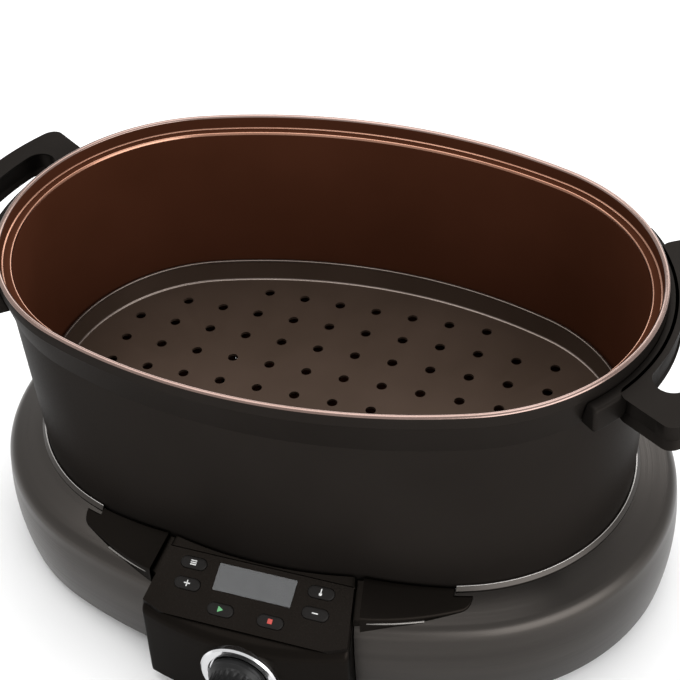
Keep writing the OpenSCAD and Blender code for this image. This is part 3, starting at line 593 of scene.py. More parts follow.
@dataclass(frozen=True)
class BrushedSteel:
    """Sheet steel brushed along the piece's length: streaks that are long in u and fine in v."""

    name: str = "brushed_steel"
    dark: Triple = (0.038, 0.034, 0.031)
    light: Triple = (0.062, 0.056, 0.051)
    ends: Point = (0.25, 0.75)
    rough: Point = (0.26, 0.42)
    anisotropy: float = 0.55
    streaks: Triple = (6.0, 2600.0, 1)    # spots a metre along u and v
    shades: Triple = (2.0, 60.0, 1)
    strength: float = 0.12
    depth: float = 0.00002

    def make(self) -> bpy.types.Material:
        """Builds the material.

        Returns:
            The material.
        """
        nodes = Nodes(self.name)
        nodes.set(Metallic=1.0, Anisotropic=self.anisotropy)
        streak = nodes.noise(nodes.where(self.streaks, by_length=True), 1.0, detail=4.0, rough=0.65)
        wide = nodes.noise(nodes.where(self.shades, by_length=True), 1.0, detail=2.0)
        nodes.feed("Base Color", nodes.colours(wide, self.ends, self.dark, self.light))
        nodes.feed("Roughness", nodes.spread(streak, *self.rough))
        nodes.bump(streak, self.strength, self.depth)
        return nodes.material


@dataclass(frozen=True)
class SmokedGlass:
    """A dark clear window with faint unevenness."""

    name: str = "smoked_window"
    dark: Triple = (0.05, 0.055, 0.06)
    light: Triple = (0.07, 0.075, 0.08)
    ends: Point = (0.3, 0.7)
    rough: Point = (0.03, 0.07)
    grain: float = 120.0
    clear: float = 0.75
    index: float = 1.49
    specular: float = 0.2

    def make(self) -> bpy.types.Material:
        """Builds the material.

        Returns:
            The material.
        """
        nodes = Nodes(self.name)
        nodes.set(Transmission_Weight=self.clear, IOR=self.index, Specular_IOR_Level=self.specular)
        fine = nodes.noise(nodes.where(), self.grain, detail=2.0)
        nodes.feed("Roughness", nodes.spread(fine, *self.rough))
        nodes.feed("Base Color", nodes.colours(fine, self.ends, self.dark, self.light))
        return nodes.material


class Look(Enum):
    """The finishes of the object, each made once."""

    COATING = Finish("dark_coating", (0.0150, 0.0126, 0.0110), (0.0180, 0.0152, 0.0133),
                     (0.36, 0.44), 0.6, grain=1500.0, depth=0.000012, strength=0.25, specular=0.0,
                     tint=0.55, patches=9.0)
    COPPER = Finish("copper_coating", (0.046, 0.0150, 0.0074), (0.058, 0.0192, 0.0098),
                    (0.36, 0.46), grain=1300.0, depth=0.00001, strength=0.2, specular=0.0,
                    patches=11.0)
    # Painted highlight: a lighter, glossier copper on the ledge's two rounded edges stands in for
    # the highlight lines that light draws there.
    EDGE = Finish("copper_edge_highlight", (0.29, 0.145, 0.098), (0.37, 0.20, 0.14), (0.20, 0.28), 1.0,
                  grain=900.0, depth=0.000004, strength=0.1)
    LIP = Finish("bare_lip", (0.225, 0.155, 0.133), (0.285, 0.205, 0.180), (0.16, 0.24), 1.0,
                 grain=500.0, depth=0.000004, strength=0.1)
    RACK = Finish("rack_coating", (0.054, 0.036, 0.026), (0.070, 0.047, 0.035), (0.34, 0.44), 0.3,
                  grain=1300.0, depth=0.00001, strength=0.2, specular=0.08, tint=0.6)
    # Painted highlight: a brighter metal on the rack's rolled top and inner fold stands in for the
    # bright lines that light draws along those edges.
    RACK_HIGHLIGHT = Finish("rack_edge_highlight", (0.155, 0.125, 0.108), (0.205, 0.168, 0.148), (0.26, 0.34), 0.9,
                       grain=1100.0, depth=0.000004, strength=0.1, specular=0.1)
    HANDLE = Finish("handle_plastic", (0.0130, 0.0112, 0.0099), (0.0165, 0.0143, 0.0128),
                    (0.42, 0.55), 0.7, grain=1800.0, depth=0.00003, strength=0.35, specular=0.0,
                    tint=0.6)
    BRACKET = Finish("bracket_paint", (0.0150, 0.0127, 0.0111), (0.0178, 0.0152, 0.0134),
                     (0.40, 0.52), 0.5, grain=1500.0, depth=0.00002, strength=0.3, specular=0.0,
                     tint=0.6)
    CONSOLE = Finish("console_plastic", (0.0080, 0.0066, 0.0055), (0.0100, 0.0083, 0.0070),
                     (0.32, 0.40), 1.0, grain=2200.0, depth=0.000015, strength=0.2, tint=0.6)
    PANEL = Finish("panel_face", (0.0068, 0.0056, 0.0047), (0.0086, 0.0072, 0.0062), (0.26, 0.34),
                   1.0, grain=1200.0, depth=0.000006, strength=0.15, tint=0.6)
    BUTTON = Finish("button_rubber", (0.0085, 0.0075, 0.0068), (0.0115, 0.0102, 0.0094),
                    (0.45, 0.58), grain=1900.0, depth=0.00002, strength=0.3, specular=0.12)
    MARK = Finish("light_marks", (0.62, 0.62, 0.61), (0.70, 0.70, 0.69), (0.4, 0.5), grain=1200.0)
    GREEN_MARK = Finish("green_mark", (0.10, 0.34, 0.14), (0.13, 0.40, 0.17), (0.4, 0.5),
                        grain=1200.0)
    RED_MARK = Finish("red_mark", (0.46, 0.05, 0.04), (0.54, 0.07, 0.05), (0.4, 0.5), grain=1200.0)
    KNOB = Finish("knob_plastic", (0.0065, 0.0065, 0.0066), (0.0090, 0.0090, 0.0092), (0.28, 0.38),
                  grain=1700.0, depth=0.00002, strength=0.25, specular=0.25)
    BRIGHT = Finish("bright_trim", (0.62, 0.62, 0.63), (0.70, 0.70, 0.71), (0.10, 0.18), 1.0,
                    grain=700.0, depth=0.000004, strength=0.1)
    STEEL = Finish("plain_steel", (0.42, 0.42, 0.42), (0.52, 0.52, 0.52), (0.28, 0.40), 1.0,
                   grain=900.0)
    LINER = Finish("aluminised_sheet", (0.50, 0.50, 0.51), (0.60, 0.60, 0.61), (0.30, 0.45), 1.0,
                   grain=420.0, patches=70.0)
    CAST = Finish("cast_aluminium", (0.34, 0.34, 0.34), (0.44, 0.44, 0.44), (0.45, 0.60), 1.0,
                  grain=650.0, depth=0.00005, strength=0.5)
    OXIDE = Finish("heat_dulled_tube", (0.045, 0.038, 0.034), (0.085, 0.070, 0.060), (0.5, 0.65),
                   0.7, patches=90.0)
    BRASS = Finish("brass", (0.60, 0.44, 0.18), (0.70, 0.54, 0.25), (0.22, 0.32), 1.0)
    CERAMIC = Finish("fuse_sleeve", (0.60, 0.57, 0.48), (0.70, 0.67, 0.58), (0.4, 0.55))
    RELAY = Finish("relay_case", (0.03, 0.09, 0.24), (0.04, 0.11, 0.28), (0.35, 0.45))
    WINDING = Finish("transformer_tape", (0.50, 0.38, 0.06), (0.60, 0.46, 0.09), (0.4, 0.5))
    BOARD = Finish("circuit_board", (0.015, 0.075, 0.032), (0.022, 0.100, 0.045), (0.28, 0.40),
                   patches=160.0)
    SWITCH = Finish("switch_body", (0.020, 0.020, 0.020), (0.032, 0.032, 0.032), (0.4, 0.55))
    DISPLAY = Finish("display_face", (0.020, 0.024, 0.022), (0.026, 0.031, 0.028), (0.15, 0.22),
                     grain=1500.0)
    COVER = Finish("cover_plastic", (0.009, 0.009, 0.009), (0.013, 0.013, 0.013), (0.50, 0.62),
                   grain=1400.0, depth=0.00004, strength=0.45, specular=0.2)
    RUBBER = Finish("foot_rubber", (0.011, 0.011, 0.011), (0.018, 0.018, 0.018), (0.62, 0.78),
                    grain=1100.0, depth=0.00003, strength=0.4)
    WRAP = BrushedSteel()
    BEAD = Finish("bead_edge", (0.170, 0.160, 0.150), (0.215, 0.203, 0.192), (0.22, 0.30), 1.0,
                  grain=700.0, depth=0.000004, strength=0.1)
    # Painted highlight: a bright metal on the ring's top edge stands in for the highlight line
    # along it, while the rest of the ring keeps the brushed wrap.
    RING_HIGHLIGHT = Finish("ring_edge_highlight", (0.42, 0.40, 0.385), (0.50, 0.48, 0.465), (0.16, 0.24), 1.0,
                       grain=700.0, depth=0.000004, strength=0.1)
    WINDOW = SmokedGlass()

    @property
    def material(self) -> bpy.types.Material:
        """The finish's material, made on first use.

        Returns:
            The material, under a name that no CAD slot has.
        """
        name = f"look_{self.value.name}"
        found = bpy.data.materials.get(name)
        if found is None:
            found = self.value.make()
            found.name = name
        return found


# Pot, rack and handles

class PotSlot(IntEnum):
    """The pot's material slots."""

    OUTSIDE = 0
    INSIDE = 1
    LIP = 2
    # The ledge's two rounded edges, which carry the painted highlight.
    LEDGE_HIGHLIGHT = 3


@dataclass
class Pot:
    """The lift-out pot: dark outside, copper-brown inside, with a bare rolled lip."""

    oval: Oval = OVAL
    top: float = 200.0
    bottom: float = 50.0
    floor: float = 53.5
    lip: float = 3.4            # the lip's thickness
    ledge_z: float = 191.6
    inner_top: float = 9.2      # inset of the inner wall under the ledge
    inner_low: float = 13.5     # inset of the inner wall at the floor
    outer_low: float = 10.7     # inset of the outer wall at the underside
    band_top: float = 192.5     # the sloping band runs from here down to the step
    step_z: float = 173.5
    step: float = 4.9           # inset of the wall under the step
    band_draw: float = 4.4      # inset of the band over the step
    collar: float = 0.1         # how far the collar over the band stands out
    corner: float = 14.0
    deep: float = 88.0          # inset at which the walls' section ends and the flat middle begins
    arc_steps: int = 8

    def outer_off(self, z: float) -> float:
        """Inset of the outer wall: a straight line over the band and another below the step.

        Args:
            z: the height.

        Returns:
            The inset in millimetres.
        """
        if z > self.step_z:
            draw, rise = self.collar - self.band_draw, self.band_top - self.step_z - 1
            return self.band_draw + draw * (z - self.step_z - 0.4) / rise
        drop = self.step_z - self.bottom - self.corner
        return self.step + (self.outer_low - self.step) * (self.step_z - z) / drop

    def profile(self) -> tuple[np.ndarray, np.ndarray]:
        """The wall's section, from under the pot over the lip to the floor's middle part.

        The lip is a half circle, and the outer and the inner side are polygons with arcs for
        corners.

        Returns:
            The points, and the material slot of each stretch between them.
        """
        half, steps = self.lip / 2, self.arc_steps
        turn = np.linspace(0, math.pi, 2 * steps + 1)
        lip = np.stack([-half + half * np.cos(turn), self.top - half + half * np.sin(turn)], 1)
        outside = rounded([
            (-self.deep, self.bottom, 0), (-self.outer_low, self.bottom, self.corner),
            (-self.step, self.step_z, 0.25), (-self.band_draw, self.step_z + 0.5, 0.25),
            (-0.15, self.band_top - 0.6, 0.5), (self.collar, self.band_top + 0.2, 0.4),
            (self.collar, self.top - 2 * half, 0.5), (0.0, self.top - half, 0)],
            steps, closed=False)
        inside = rounded([
            (-self.lip, self.top - half, 0), (-self.lip, self.ledge_z + 0.6, 0.4),
            (-self.lip - 0.7, self.ledge_z, 0.6), (-self.inner_top + 0.6, self.ledge_z, 0.8),
            (-self.inner_top, self.ledge_z - 1.4, 0.8),
            (-self.inner_low, self.floor, self.corner - 3), (-self.deep, self.floor, 0)],
            steps, closed=False)
        within = np.full(len(inside) - 2, int(PotSlot.INSIDE))
        corner = steps + 1
        # The ledge's two rounded corners take the lighter copper that paints their highlight lines.
        within[corner - 1:2 * corner - 1] = PotSlot.LEDGE_HIGHLIGHT
        within[2 * corner:3 * corner] = PotSlot.LEDGE_HIGHLIGHT
        bare = np.full(len(lip), int(PotSlot.LIP))
        bare[:2], bare[-3:] = PotSlot.OUTSIDE, PotSlot.INSIDE
        without = np.full(len(outside) - 1, int(PotSlot.OUTSIDE))
        points = np.concatenate([outside[:-1], lip, inside[1:]])
        return points, np.concatenate([without, bare, within])

    def build(self) -> None:
        """Builds the pot as one closed surface whose two ends are poles in the floor's middle."""
        profile, slots = self.profile()
        headings = self.oval.headings(0, 2 * math.pi, ROUND_STEP)[:-1]
        wall = sweep(profile, headings, self.oval)
        shrink = np.linspace(1, 0, 9)[1:-1]
        under = np.stack([wall[:, 0] * [k, k, 1] for k in shrink[::-1]], 1)
        over = np.stack([wall[:, -1] * [k, k, 1] for k in shrink], 1)
        low, high = poles(len(headings), self.bottom), poles(len(headings), self.floor)
        grid = np.concatenate([low, under, wall, over, high], axis=1)
        flat = np.ones(len(shrink) + 1, int)
        slot = np.concatenate([flat * PotSlot.OUTSIDE, slots, flat * PotSlot.INSIDE])
        pot = Shell().grid(grid, loop_u=True, loop_v=False, slot=slot[:grid.shape[1] - 1]).make(
            "pot", "pot", Look.COATING.material, Look.COPPER.material, Look.LIP.material,
            Look.EDGE.material, merge=WELD)
        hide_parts("cooking_pot")


@dataclass
class Rack:
    """The drain rack: a drilled tray with a leaning flange and a rounded hem."""

    oval: Oval = OVAL
    plate_z: float = 85.5
    flange: float = 17.8      # inset of the flange's inner face at the plate
    height: float = 14.0
    lean: float = 1.5
    sheet: float = 1.5
    bend: float = 3.0
    flat: float = 70.0        # how much of the plate belongs to the section
    hole: float = 6.2
    hole_sides: int = 28
    pitch: Point = (23.5, 21.3)
    columns: int = 6          # columns and rows of holes on each side of the middle ones
    rows: int = 4
    edge: float = 12.0        # the least distance of a hole's middle from the flange
    hem: tuple[int, int] = (15, 30)     # the section's stretches on the rolled top that carry a painted highlight
    fold: tuple[int, int] = (38, 42)    # and where the flange meets the plate, with the same painted highlight

    def build(self) -> None:
        """Builds the tray by a sweep and drills it."""
        top, low = self.plate_z + self.height, self.plate_z - self.sheet
        f, s = self.flange, self.sheet
        section = rounded([
            (-f - self.flat, low, 0), (-f + s, low, self.bend), (-f + s + self.lean, top - 1, 0.3),
            (-f + s + self.lean, top, 0.95), (-f + self.lean - 0.3, top, 0.95),
            (-f + self.lean, top - 1.6, 0.4), (-f, self.plate_z, self.bend - s),
            (-f - self.flat, self.plate_z, 0)], 6, closed=False)
        headings = self.oval.headings(0, 2 * math.pi, ROUND_STEP)[:-1]
        wall = sweep(section, headings, self.oval)
        count = len(headings)
        grid = np.concatenate([poles(count, low), wall, poles(count, self.plate_z)], axis=1)
        # The hem and the fold get the brighter finish: painted highlight lines along the rack's
        # edges.
        highlight_columns = np.zeros(grid.shape[1] - 1, int)
        for start, stop in (self.hem, self.fold):
            highlight_columns[start:stop] = 1
        tray = Shell().grid(grid, loop_u=True, loop_v=False, slot=highlight_columns).make(
            "rack_tray_sheet", "rack", Look.RACK.material, Look.RACK_HIGHLIGHT.material, merge=WELD)
        self.drill(tray)
        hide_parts("rack_tray")

    def depth(self, x: float, y: float) -> float:
        """Distance inside the rim's outline: the arc's radius less the way to the arc's centre.

        Args:
            x: the point's x.
            y: the point's y.

        Returns:
            The distance in millimetres.
        """
        x, y = abs(x), abs(y)
        if y * self.oval.end_centre < (x - self.oval.end_centre) * self.oval.side_centre:
            return self.oval.end_radius - math.hypot(x - self.oval.end_centre, y)
        return self.oval.side_radius - math.hypot(x, y + self.oval.side_centre)

    def drill(self, tray: bpy.types.Object) -> None:
        """Cuts the drain holes out of the tray: rods on a square lattice, clear of the flange.

        Args:
            tray: the tray.
        """
        r, up = self.hole / 2, 4.0
        section = np.array([[0.0, -up], [r, -up], [r, up], [0.0, up]])
        rods = Shell()
        for i in range(-self.columns, self.columns + 1):
            for j in range(-self.rows, self.rows + 1):
                x, y = i * self.pitch[0], j * self.pitch[1]
                if self.depth(x, y) > self.flange + self.edge:
                    rod = revolve(section, (x, y, self.plate_z), (0, 0, 1), self.hole_sides)
                    rods.grid(rod, loop_u=True, loop_v=False)
        cut_out(tray, rods)


def grow_by(piece: bpy.types.Object, other: bpy.types.Object, smooth: float) -> None:
    """Adds another piece's surface to a piece and drops the other.

    Args:
        piece: the piece that grows.
        other: the piece that is taken in.
        smooth: the largest angle, in degrees, that is shaded as smooth afterwards.
    """
    work = bmesh.new()
    work.from_mesh(piece.data)
    work.from_mesh(other.data)
    work.to_mesh(piece.data)
    work.free()
    bpy.data.objects.remove(other)
    piece.data.shade_smooth()
    piece.data.set_sharp_from_angle(angle=math.radians(smooth))


def cut_out(piece: bpy.types.Object, cutter: Shell, smooth: float = SMOOTH) -> None:
    """Cuts closed surfaces out of a piece and drops them.

    Args:
        piece: the piece to cut.
        cutter: the surfaces that are taken away.
        smooth: the largest angle, in degrees, that is shaded as smooth afterwards.
    """
    tool = cutter.make("cutter", "base", piece.data.materials[0], merge=WELD)
    cut = piece.modifiers.new("cut", "BOOLEAN")
    cut.operation, cut.solver, cut.object = "DIFFERENCE", "EXACT", tool
    bpy.context.view_layer.update()
    seen = piece.evaluated_get(bpy.context.evaluated_depsgraph_get())
    mesh = bpy.data.meshes.new_from_object(seen)
    piece.modifiers.clear()
    piece.data = mesh
    bpy.data.objects.remove(tool)
    mesh.shade_smooth()
    mesh.set_sharp_from_angle(angle=math.radians(smooth))


@dataclass
class Handle:
    """A side handle: a pad that hugs the pot's end, with arms and a grip round a finger opening."""

    side: int                  # 1 for the right handle and -1 for the left
    pot: Pot
    oval: Oval = OVAL
    top: float = 190.7
    height: float = 15.0
    pad: float = 7.0           # how far the pad stands out
    pad_angle: float = 40.2
    pad_gap: float = 0.15      # how far the pad's inner face stays off the wall
    pad_round: float = 2.4
    reach: float = 40.0        # how far the grip stands out
    grip: float = 13.0         # the grip's width
    root: float = 3.0          # how far outside the rim the arms start
    arm_angle: float = 32.0
    arm_corner: float = 7.0
    opening_angle: float = 20.0
    edge: float = 3.2
    corner_steps: int = 10
    long_steps: int = 40
    short_steps: int = 8

    @property
    def name(self) -> str:
        """The side in words."""
        return "right" if self.side > 0 else "left"

    def spot(self, radius: np.ndarray, angle: np.ndarray, z: np.ndarray) -> np.ndarray:
        """Points at a radius and angle about the end arc's centre, mirrored for the left handle."""
        x = self.side * (self.oval.end_centre + radius * np.cos(angle))
        return np.stack([x, radius * np.sin(angle), z], axis=-1)

    def grip_grid(self) -> np.ndarray:
        """The arms and the grip, as a ring round the finger opening.

        The point (u, v) lies between the opening's outline and the outer outline at u, at a share
        of the way that the rounded section at v gives. Both outlines are rounded rectangles in
        angle and radius.

        Returns:
            The grid of points.
        """
        base = self.oval.end_radius
        inner, outer = base + self.pad + 1, base + self.reach - self.grip
        mid, half = (inner + outer) / 2, (outer - inner) / 2
        span = math.radians(self.opening_angle) * mid + half
        arm = math.radians(self.arm_angle) * mid
        near, far = base + self.root, base + self.reach
        hole = self.outline(span, half, half, 0.0)
        rim = self.outline(arm, (far - near) / 2, self.arm_corner, (far + near) / 2 - mid)
        share = self.shares(np.hypot(*(rim - hole).T))
        flat = hole[:, None] + (rim - hole)[:, None] * share[..., None]
        z = np.broadcast_to(self.heights()[None], share.shape)
        return self.spot(mid + flat[..., 1], flat[..., 0] / mid, z)

    def outline(self, half_length: float, half_width: float, radius: float,
                shift: float) -> np.ndarray:
        """A rounded rectangle with the same number of points on each stretch, whatever its size.

        Each corner is a quarter circle, and each side is a straight line of even steps.

        Args:
            half_length: half of its length, along the pot's end.
            half_width: half of its width, outwards.
            radius: the corners' radius, which is cut to half of the width.
            shift: how far its middle lies outwards.

        Returns:
            The points, two columns.
        """
        r = min(radius, half_width)
        centres = [np.array([sx * (half_length - r), sy * (half_width - r) + shift])
                   for sx, sy in ((1, 1), (-1, 1), (-1, -1), (1, -1))]
        parts = []
        for k, centre in enumerate(centres):
            t = np.linspace(0, math.pi / 2, self.corner_steps + 1)[:-1] + k * math.pi / 2
            parts.append(centre + r * np.stack([np.cos(t), np.sin(t)], 1))
            stop = (k + 1) * math.pi / 2
            reach = r * np.array([math.cos(stop), math.sin(stop)])
            first, last = centre + reach, centres[(k + 1) % 4] + reach
            steps = self.long_steps if k % 2 == 0 else self.short_steps
            parts.append(first + (last - first) * (np.arange(steps) / steps)[:, None])
        return np.concatenate(parts)

    def quarter(self) -> np.ndarray:
        """The angles of the rounding along the grip's edges."""
        return np.linspace(0, math.pi / 2, 7)

    def shares(self, width: np.ndarray) -> np.ndarray:
        """How far each section point lies from the opening to the rim, as a share of the width.

        Near each edge the distance is the rounding's radius times (1 - sin a).

        Args:
            width: the way from the opening to the rim, at each place round it.

        Returns:
            The shares, places by section points.
        """
        inner = self.edge * (1 - np.sin(self.quarter()))
        near = np.concatenate([inner[::-1], inner])
        w = width[:, None]
        return np.concatenate([1 - near[None] / w, near[None] / w], axis=1)

    def heights(self) -> np.ndarray:
        """The heights that go with the shares: the radius times (1 - cos a) off each face.

        Returns:
            The height of each section point.
        """
        low = self.top - self.height
        rise = self.edge * (1 - np.cos(self.quarter()))
        up = np.concatenate([low + rise, (self.top - rise)[::-1]])
        return np.concatenate([up, up[::-1]])

    def pad_grid(self) -> np.ndarray:
        """The pad: a rounded section carried round the pot's end, with rounded ends.

        Returns:
            The grid of points, angles by section points.
        """
        low = self.top - self.height
        near_low = -self.pot.outer_off(low) + self.pad_gap
        near_top = -self.pot.outer_off(self.top) + self.pad_gap
        section = rounded([(near_low, low, 0.6), (self.pad, low, 2.0), (self.pad, self.top, 2.2),
                           (near_top, self.top, 0.6)], 5)
        a = math.radians(self.pad_angle)
        angles = np.linspace(-a, a, 61)[:, None] * np.ones(len(section))
        heights = np.broadcast_to(section[:, 1], angles.shape)
        grid = self.spot(self.oval.end_radius + section[None, :, 0], angles, heights)
        return ends_rounded(grid, self.pad_round, 6)

    def build(self) -> None:
        """Builds the handle as one piece of two shells that grow into each other."""
        shell = Shell().grid(self.grip_grid(), loop_u=True).grid(self.pad_grid())
        handle = shell.make(
            f"{self.name}_handle_grip", "pot", Look.HANDLE.material, smooth=GRIP_SMOOTH)
        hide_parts(f"{self.name}_handle")


# Nose and base

@dataclass(frozen=True)
class Nose:
    """The console's nose: a curved front, two splayed sides and a sloping face."""

    front: float = -159.1
    front_radius: float = 170.0
    half: float = 52.5           # half of its width at the panel's rear line
    splay: float = 0.18          # how much wider each side gets for each millimetre forwards
    panel_y: float = -117.1      # the panel's rear line
    panel_z: float = 75.5
    slope: float = math.radians(24)

    def half_at(self, y: np.ndarray, grow: float = 0.0) -> np.ndarray:
        """Half width of the nose at a y."""
        return self.half + grow + self.splay * (self.panel_y - y)

    def height(self, y: np.ndarray, drop: float = 0.0) -> np.ndarray:
        """Height of the sloping face at a y, lowered square to itself by drop."""
        rise = (y - self.panel_y) * math.tan(self.slope)
        return self.panel_z + rise - drop / math.cos(self.slope)

    def spot(self, x: np.ndarray, along: np.ndarray, up: np.ndarray) -> np.ndarray:
        """Points told on the sloping face: across, along it towards the pot, and square to it.

        Args:
            x: places across.
            along: places along the face, from the panel's rear line.
            up: heights square to the face.

        Returns:
            The points, with x, y and z in the last axis.
        """
        c, s = math.cos(self.slope), math.sin(self.slope)
        y, z = self.panel_y + along * c - up * s, self.panel_z + along * s + up * c
        return np.stack([x, y, z], axis=-1)


NOSE = Nose()


@dataclass
class Base:
    """The heating base: a brushed wrap with a sloping shoulder, and a bright ring at its top."""

    oval: Oval = OVAL
    nose: Nose = NOSE
    height: float = 71.0
    sheet: float = 1.2
    reach: float = 16.0           # how far the widest line lies outside the rim
    shoulder: float = 9.0         # radius of the shoulder's arc
    shoulder_start: float = math.radians(8)
    shoulder_in: float = 1.5      # how far the shoulder is drawn in from the widest line
    shoulder_drop: float = 3.0    # how far the slope's top lies under the ring's top
    slope: float = math.radians(20)
    bulge: float = 140.0          # radius of the side's arc
    ring_off: float = 9.5         # inset of the ring's inner edge
    ring_rest: float = 0.9        # how far beyond that edge the wrap's sheet ends
    ring_lift: float = 0.05       # how far the ring lies off the sheet
    ring_over: float = 1.9        # how far the ring reaches past the sheet's end
    ring_side: float = 1.25       # height of its outer side
    ring_step: float = 2.5
    ring_edge_highlight: tuple[int, int] = (-10, -1)     # the stretches of the ring's section that carry a painted highlight along its top edge
    gap: float = 0.6              # between the wrap and the console
    socket: Triple = (46.0, 24.0, 28.0)        # the inlet's width, height and middle height
    socket_gap: float = 0.3
    socket_y: Point = (120.0, 160.0)

    @property
    def top_x(self) -> float:
        """Where the shoulder's sheet ends, outside the rim."""
        return -self.ring_off + self.ring_rest

    @property
    def bulge_z(self) -> float:
        """Height of the widest line."""
        return self.height * 0.5

    def bulge_x(self, z: np.ndarray | float, inset: float) -> np.ndarray | float:
        """The side's reach at a height, on its arc."""
        root = np.sqrt((self.bulge - inset) ** 2 - (z - self.bulge_z) ** 2)
        return self.reach - self.bulge + root

    def shoulder_centre(self) -> Point:
        """Centre of the shoulder's arc, which touches both the side's arc and the slope.

        Returns:
            Its distance outside the rim and its height.
        """
        top_z, r, s = self.height - self.shoulder_drop, self.shoulder, self.slope
        run = self.reach - self.shoulder_in - r * (1 - math.sin(s)) - self.top_x
        drop = run * math.tan(s)
        z = top_z - drop - r * math.cos(s)
        x = self.reach - self.bulge + math.sqrt(self.bulge ** 2 - (z - self.bulge_z) ** 2) - r
        return x, z

    def shoulder_top(self, x: float) -> float:
        """Height of the shoulder's slope, a straight line from the end of its arc.

        Args:
            x: distance outside the rim.

        Returns:
            The height.
        """
        cx, cz = self.shoulder_centre()
        s, r = self.slope, self.shoulder
        return cz + r * math.cos(s) - (x - cx - r * math.sin(s)) * math.tan(s)

    def line(self, inset: float) -> np.ndarray:
        """The sheet's section line: up the side's arc, round the shoulder and along the slope.

        Args:
            inset: 0 for the outer face, and the sheet's thickness for the inner face.

        Returns:
            The points from the lower edge on, two columns.
        """
        cx, cz = self.shoulder_centre()
        z = np.linspace(BASE_LOW, cz, 15)
        side = np.stack([self.bulge_x(z, inset), z], 1)
        t = np.linspace(self.shoulder_start, math.pi / 2 - self.slope, 13)
        r = self.shoulder - inset
        arc = np.stack([cx + r * np.cos(t), cz + r * np.sin(t)], 1)
        end = np.array([[self.top_x, self.shoulder_top(self.top_x) - inset / math.cos(self.slope)]])
        between = arc[-1] + (end - arc[-1]) * np.linspace(0, 1, 6)[1:, None]
        return np.concatenate([side, arc, between])

    def build_wrap(self) -> None:
        """Builds the wrap by a sweep from one side of the console to the other, and its opening."""
        section = np.concatenate([self.line(0.0), self.line(self.sheet)[::-1]])
        starts = self.oval.front_headings(section[:, 0], lambda y: self.nose.half_at(y, self.gap))
        headings = self.oval.round_back(starts, ROUND_STEP)
        wrap = Shell().grid(sweep(section, headings, self.oval)).make(
            "wrap_sheet", "base", Look.WRAP.material)
        wide, tall, z = self.socket
        near, far = self.socket_y
        half_x, half_z = wide / 2 + self.socket_gap, tall / 2 + self.socket_gap
        opening = np.array([[[x, near, z - half_z], [x, near, z + half_z], [x, far, z + half_z],
                             [x, far, z - half_z]] for x in (-half_x, 0.0, half_x)])
        cut_out(wrap, Shell().grid(opening))
        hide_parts("base_wrap")

    def build_ring(self) -> None:
        """Builds the ring that lies on the shoulder's slope, by a sweep between its two ends."""
        low = self.shoulder_top(self.top_x) + self.ring_lift
        out = self.top_x + self.ring_over
        out_z = self.shoulder_top(out)
        section = rounded([
            (-self.ring_off, low, 0.1), (self.top_x, low, 0.1), (out, out_z + self.ring_lift, 0.2),
            (out, out_z + self.ring_side, 0.5), (-self.ring_off + 1.0, self.height, 0.5),
            (-self.ring_off, self.height, 0.4)], 4)
        starts = self.oval.front_headings(section[:, 0], lambda y: RING_GAP)
        headings = self.oval.round_back(starts, self.ring_step)
        # The top edge's stretches take the bright finish, a painted highlight line.
        bright = np.zeros(len(section), int)
        bright[slice(*self.ring_edge_highlight)] = 1
        ring = Shell().grid(sweep(section, headings, self.oval), slot=bright).make(
            "ring_trim", "base", Look.WRAP.material, Look.RING_HIGHLIGHT.material)
        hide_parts("base_ring")

    def build(self) -> None:
        """Builds the wrap and the ring."""
        self.build_wrap()
        self.build_ring()


# Console

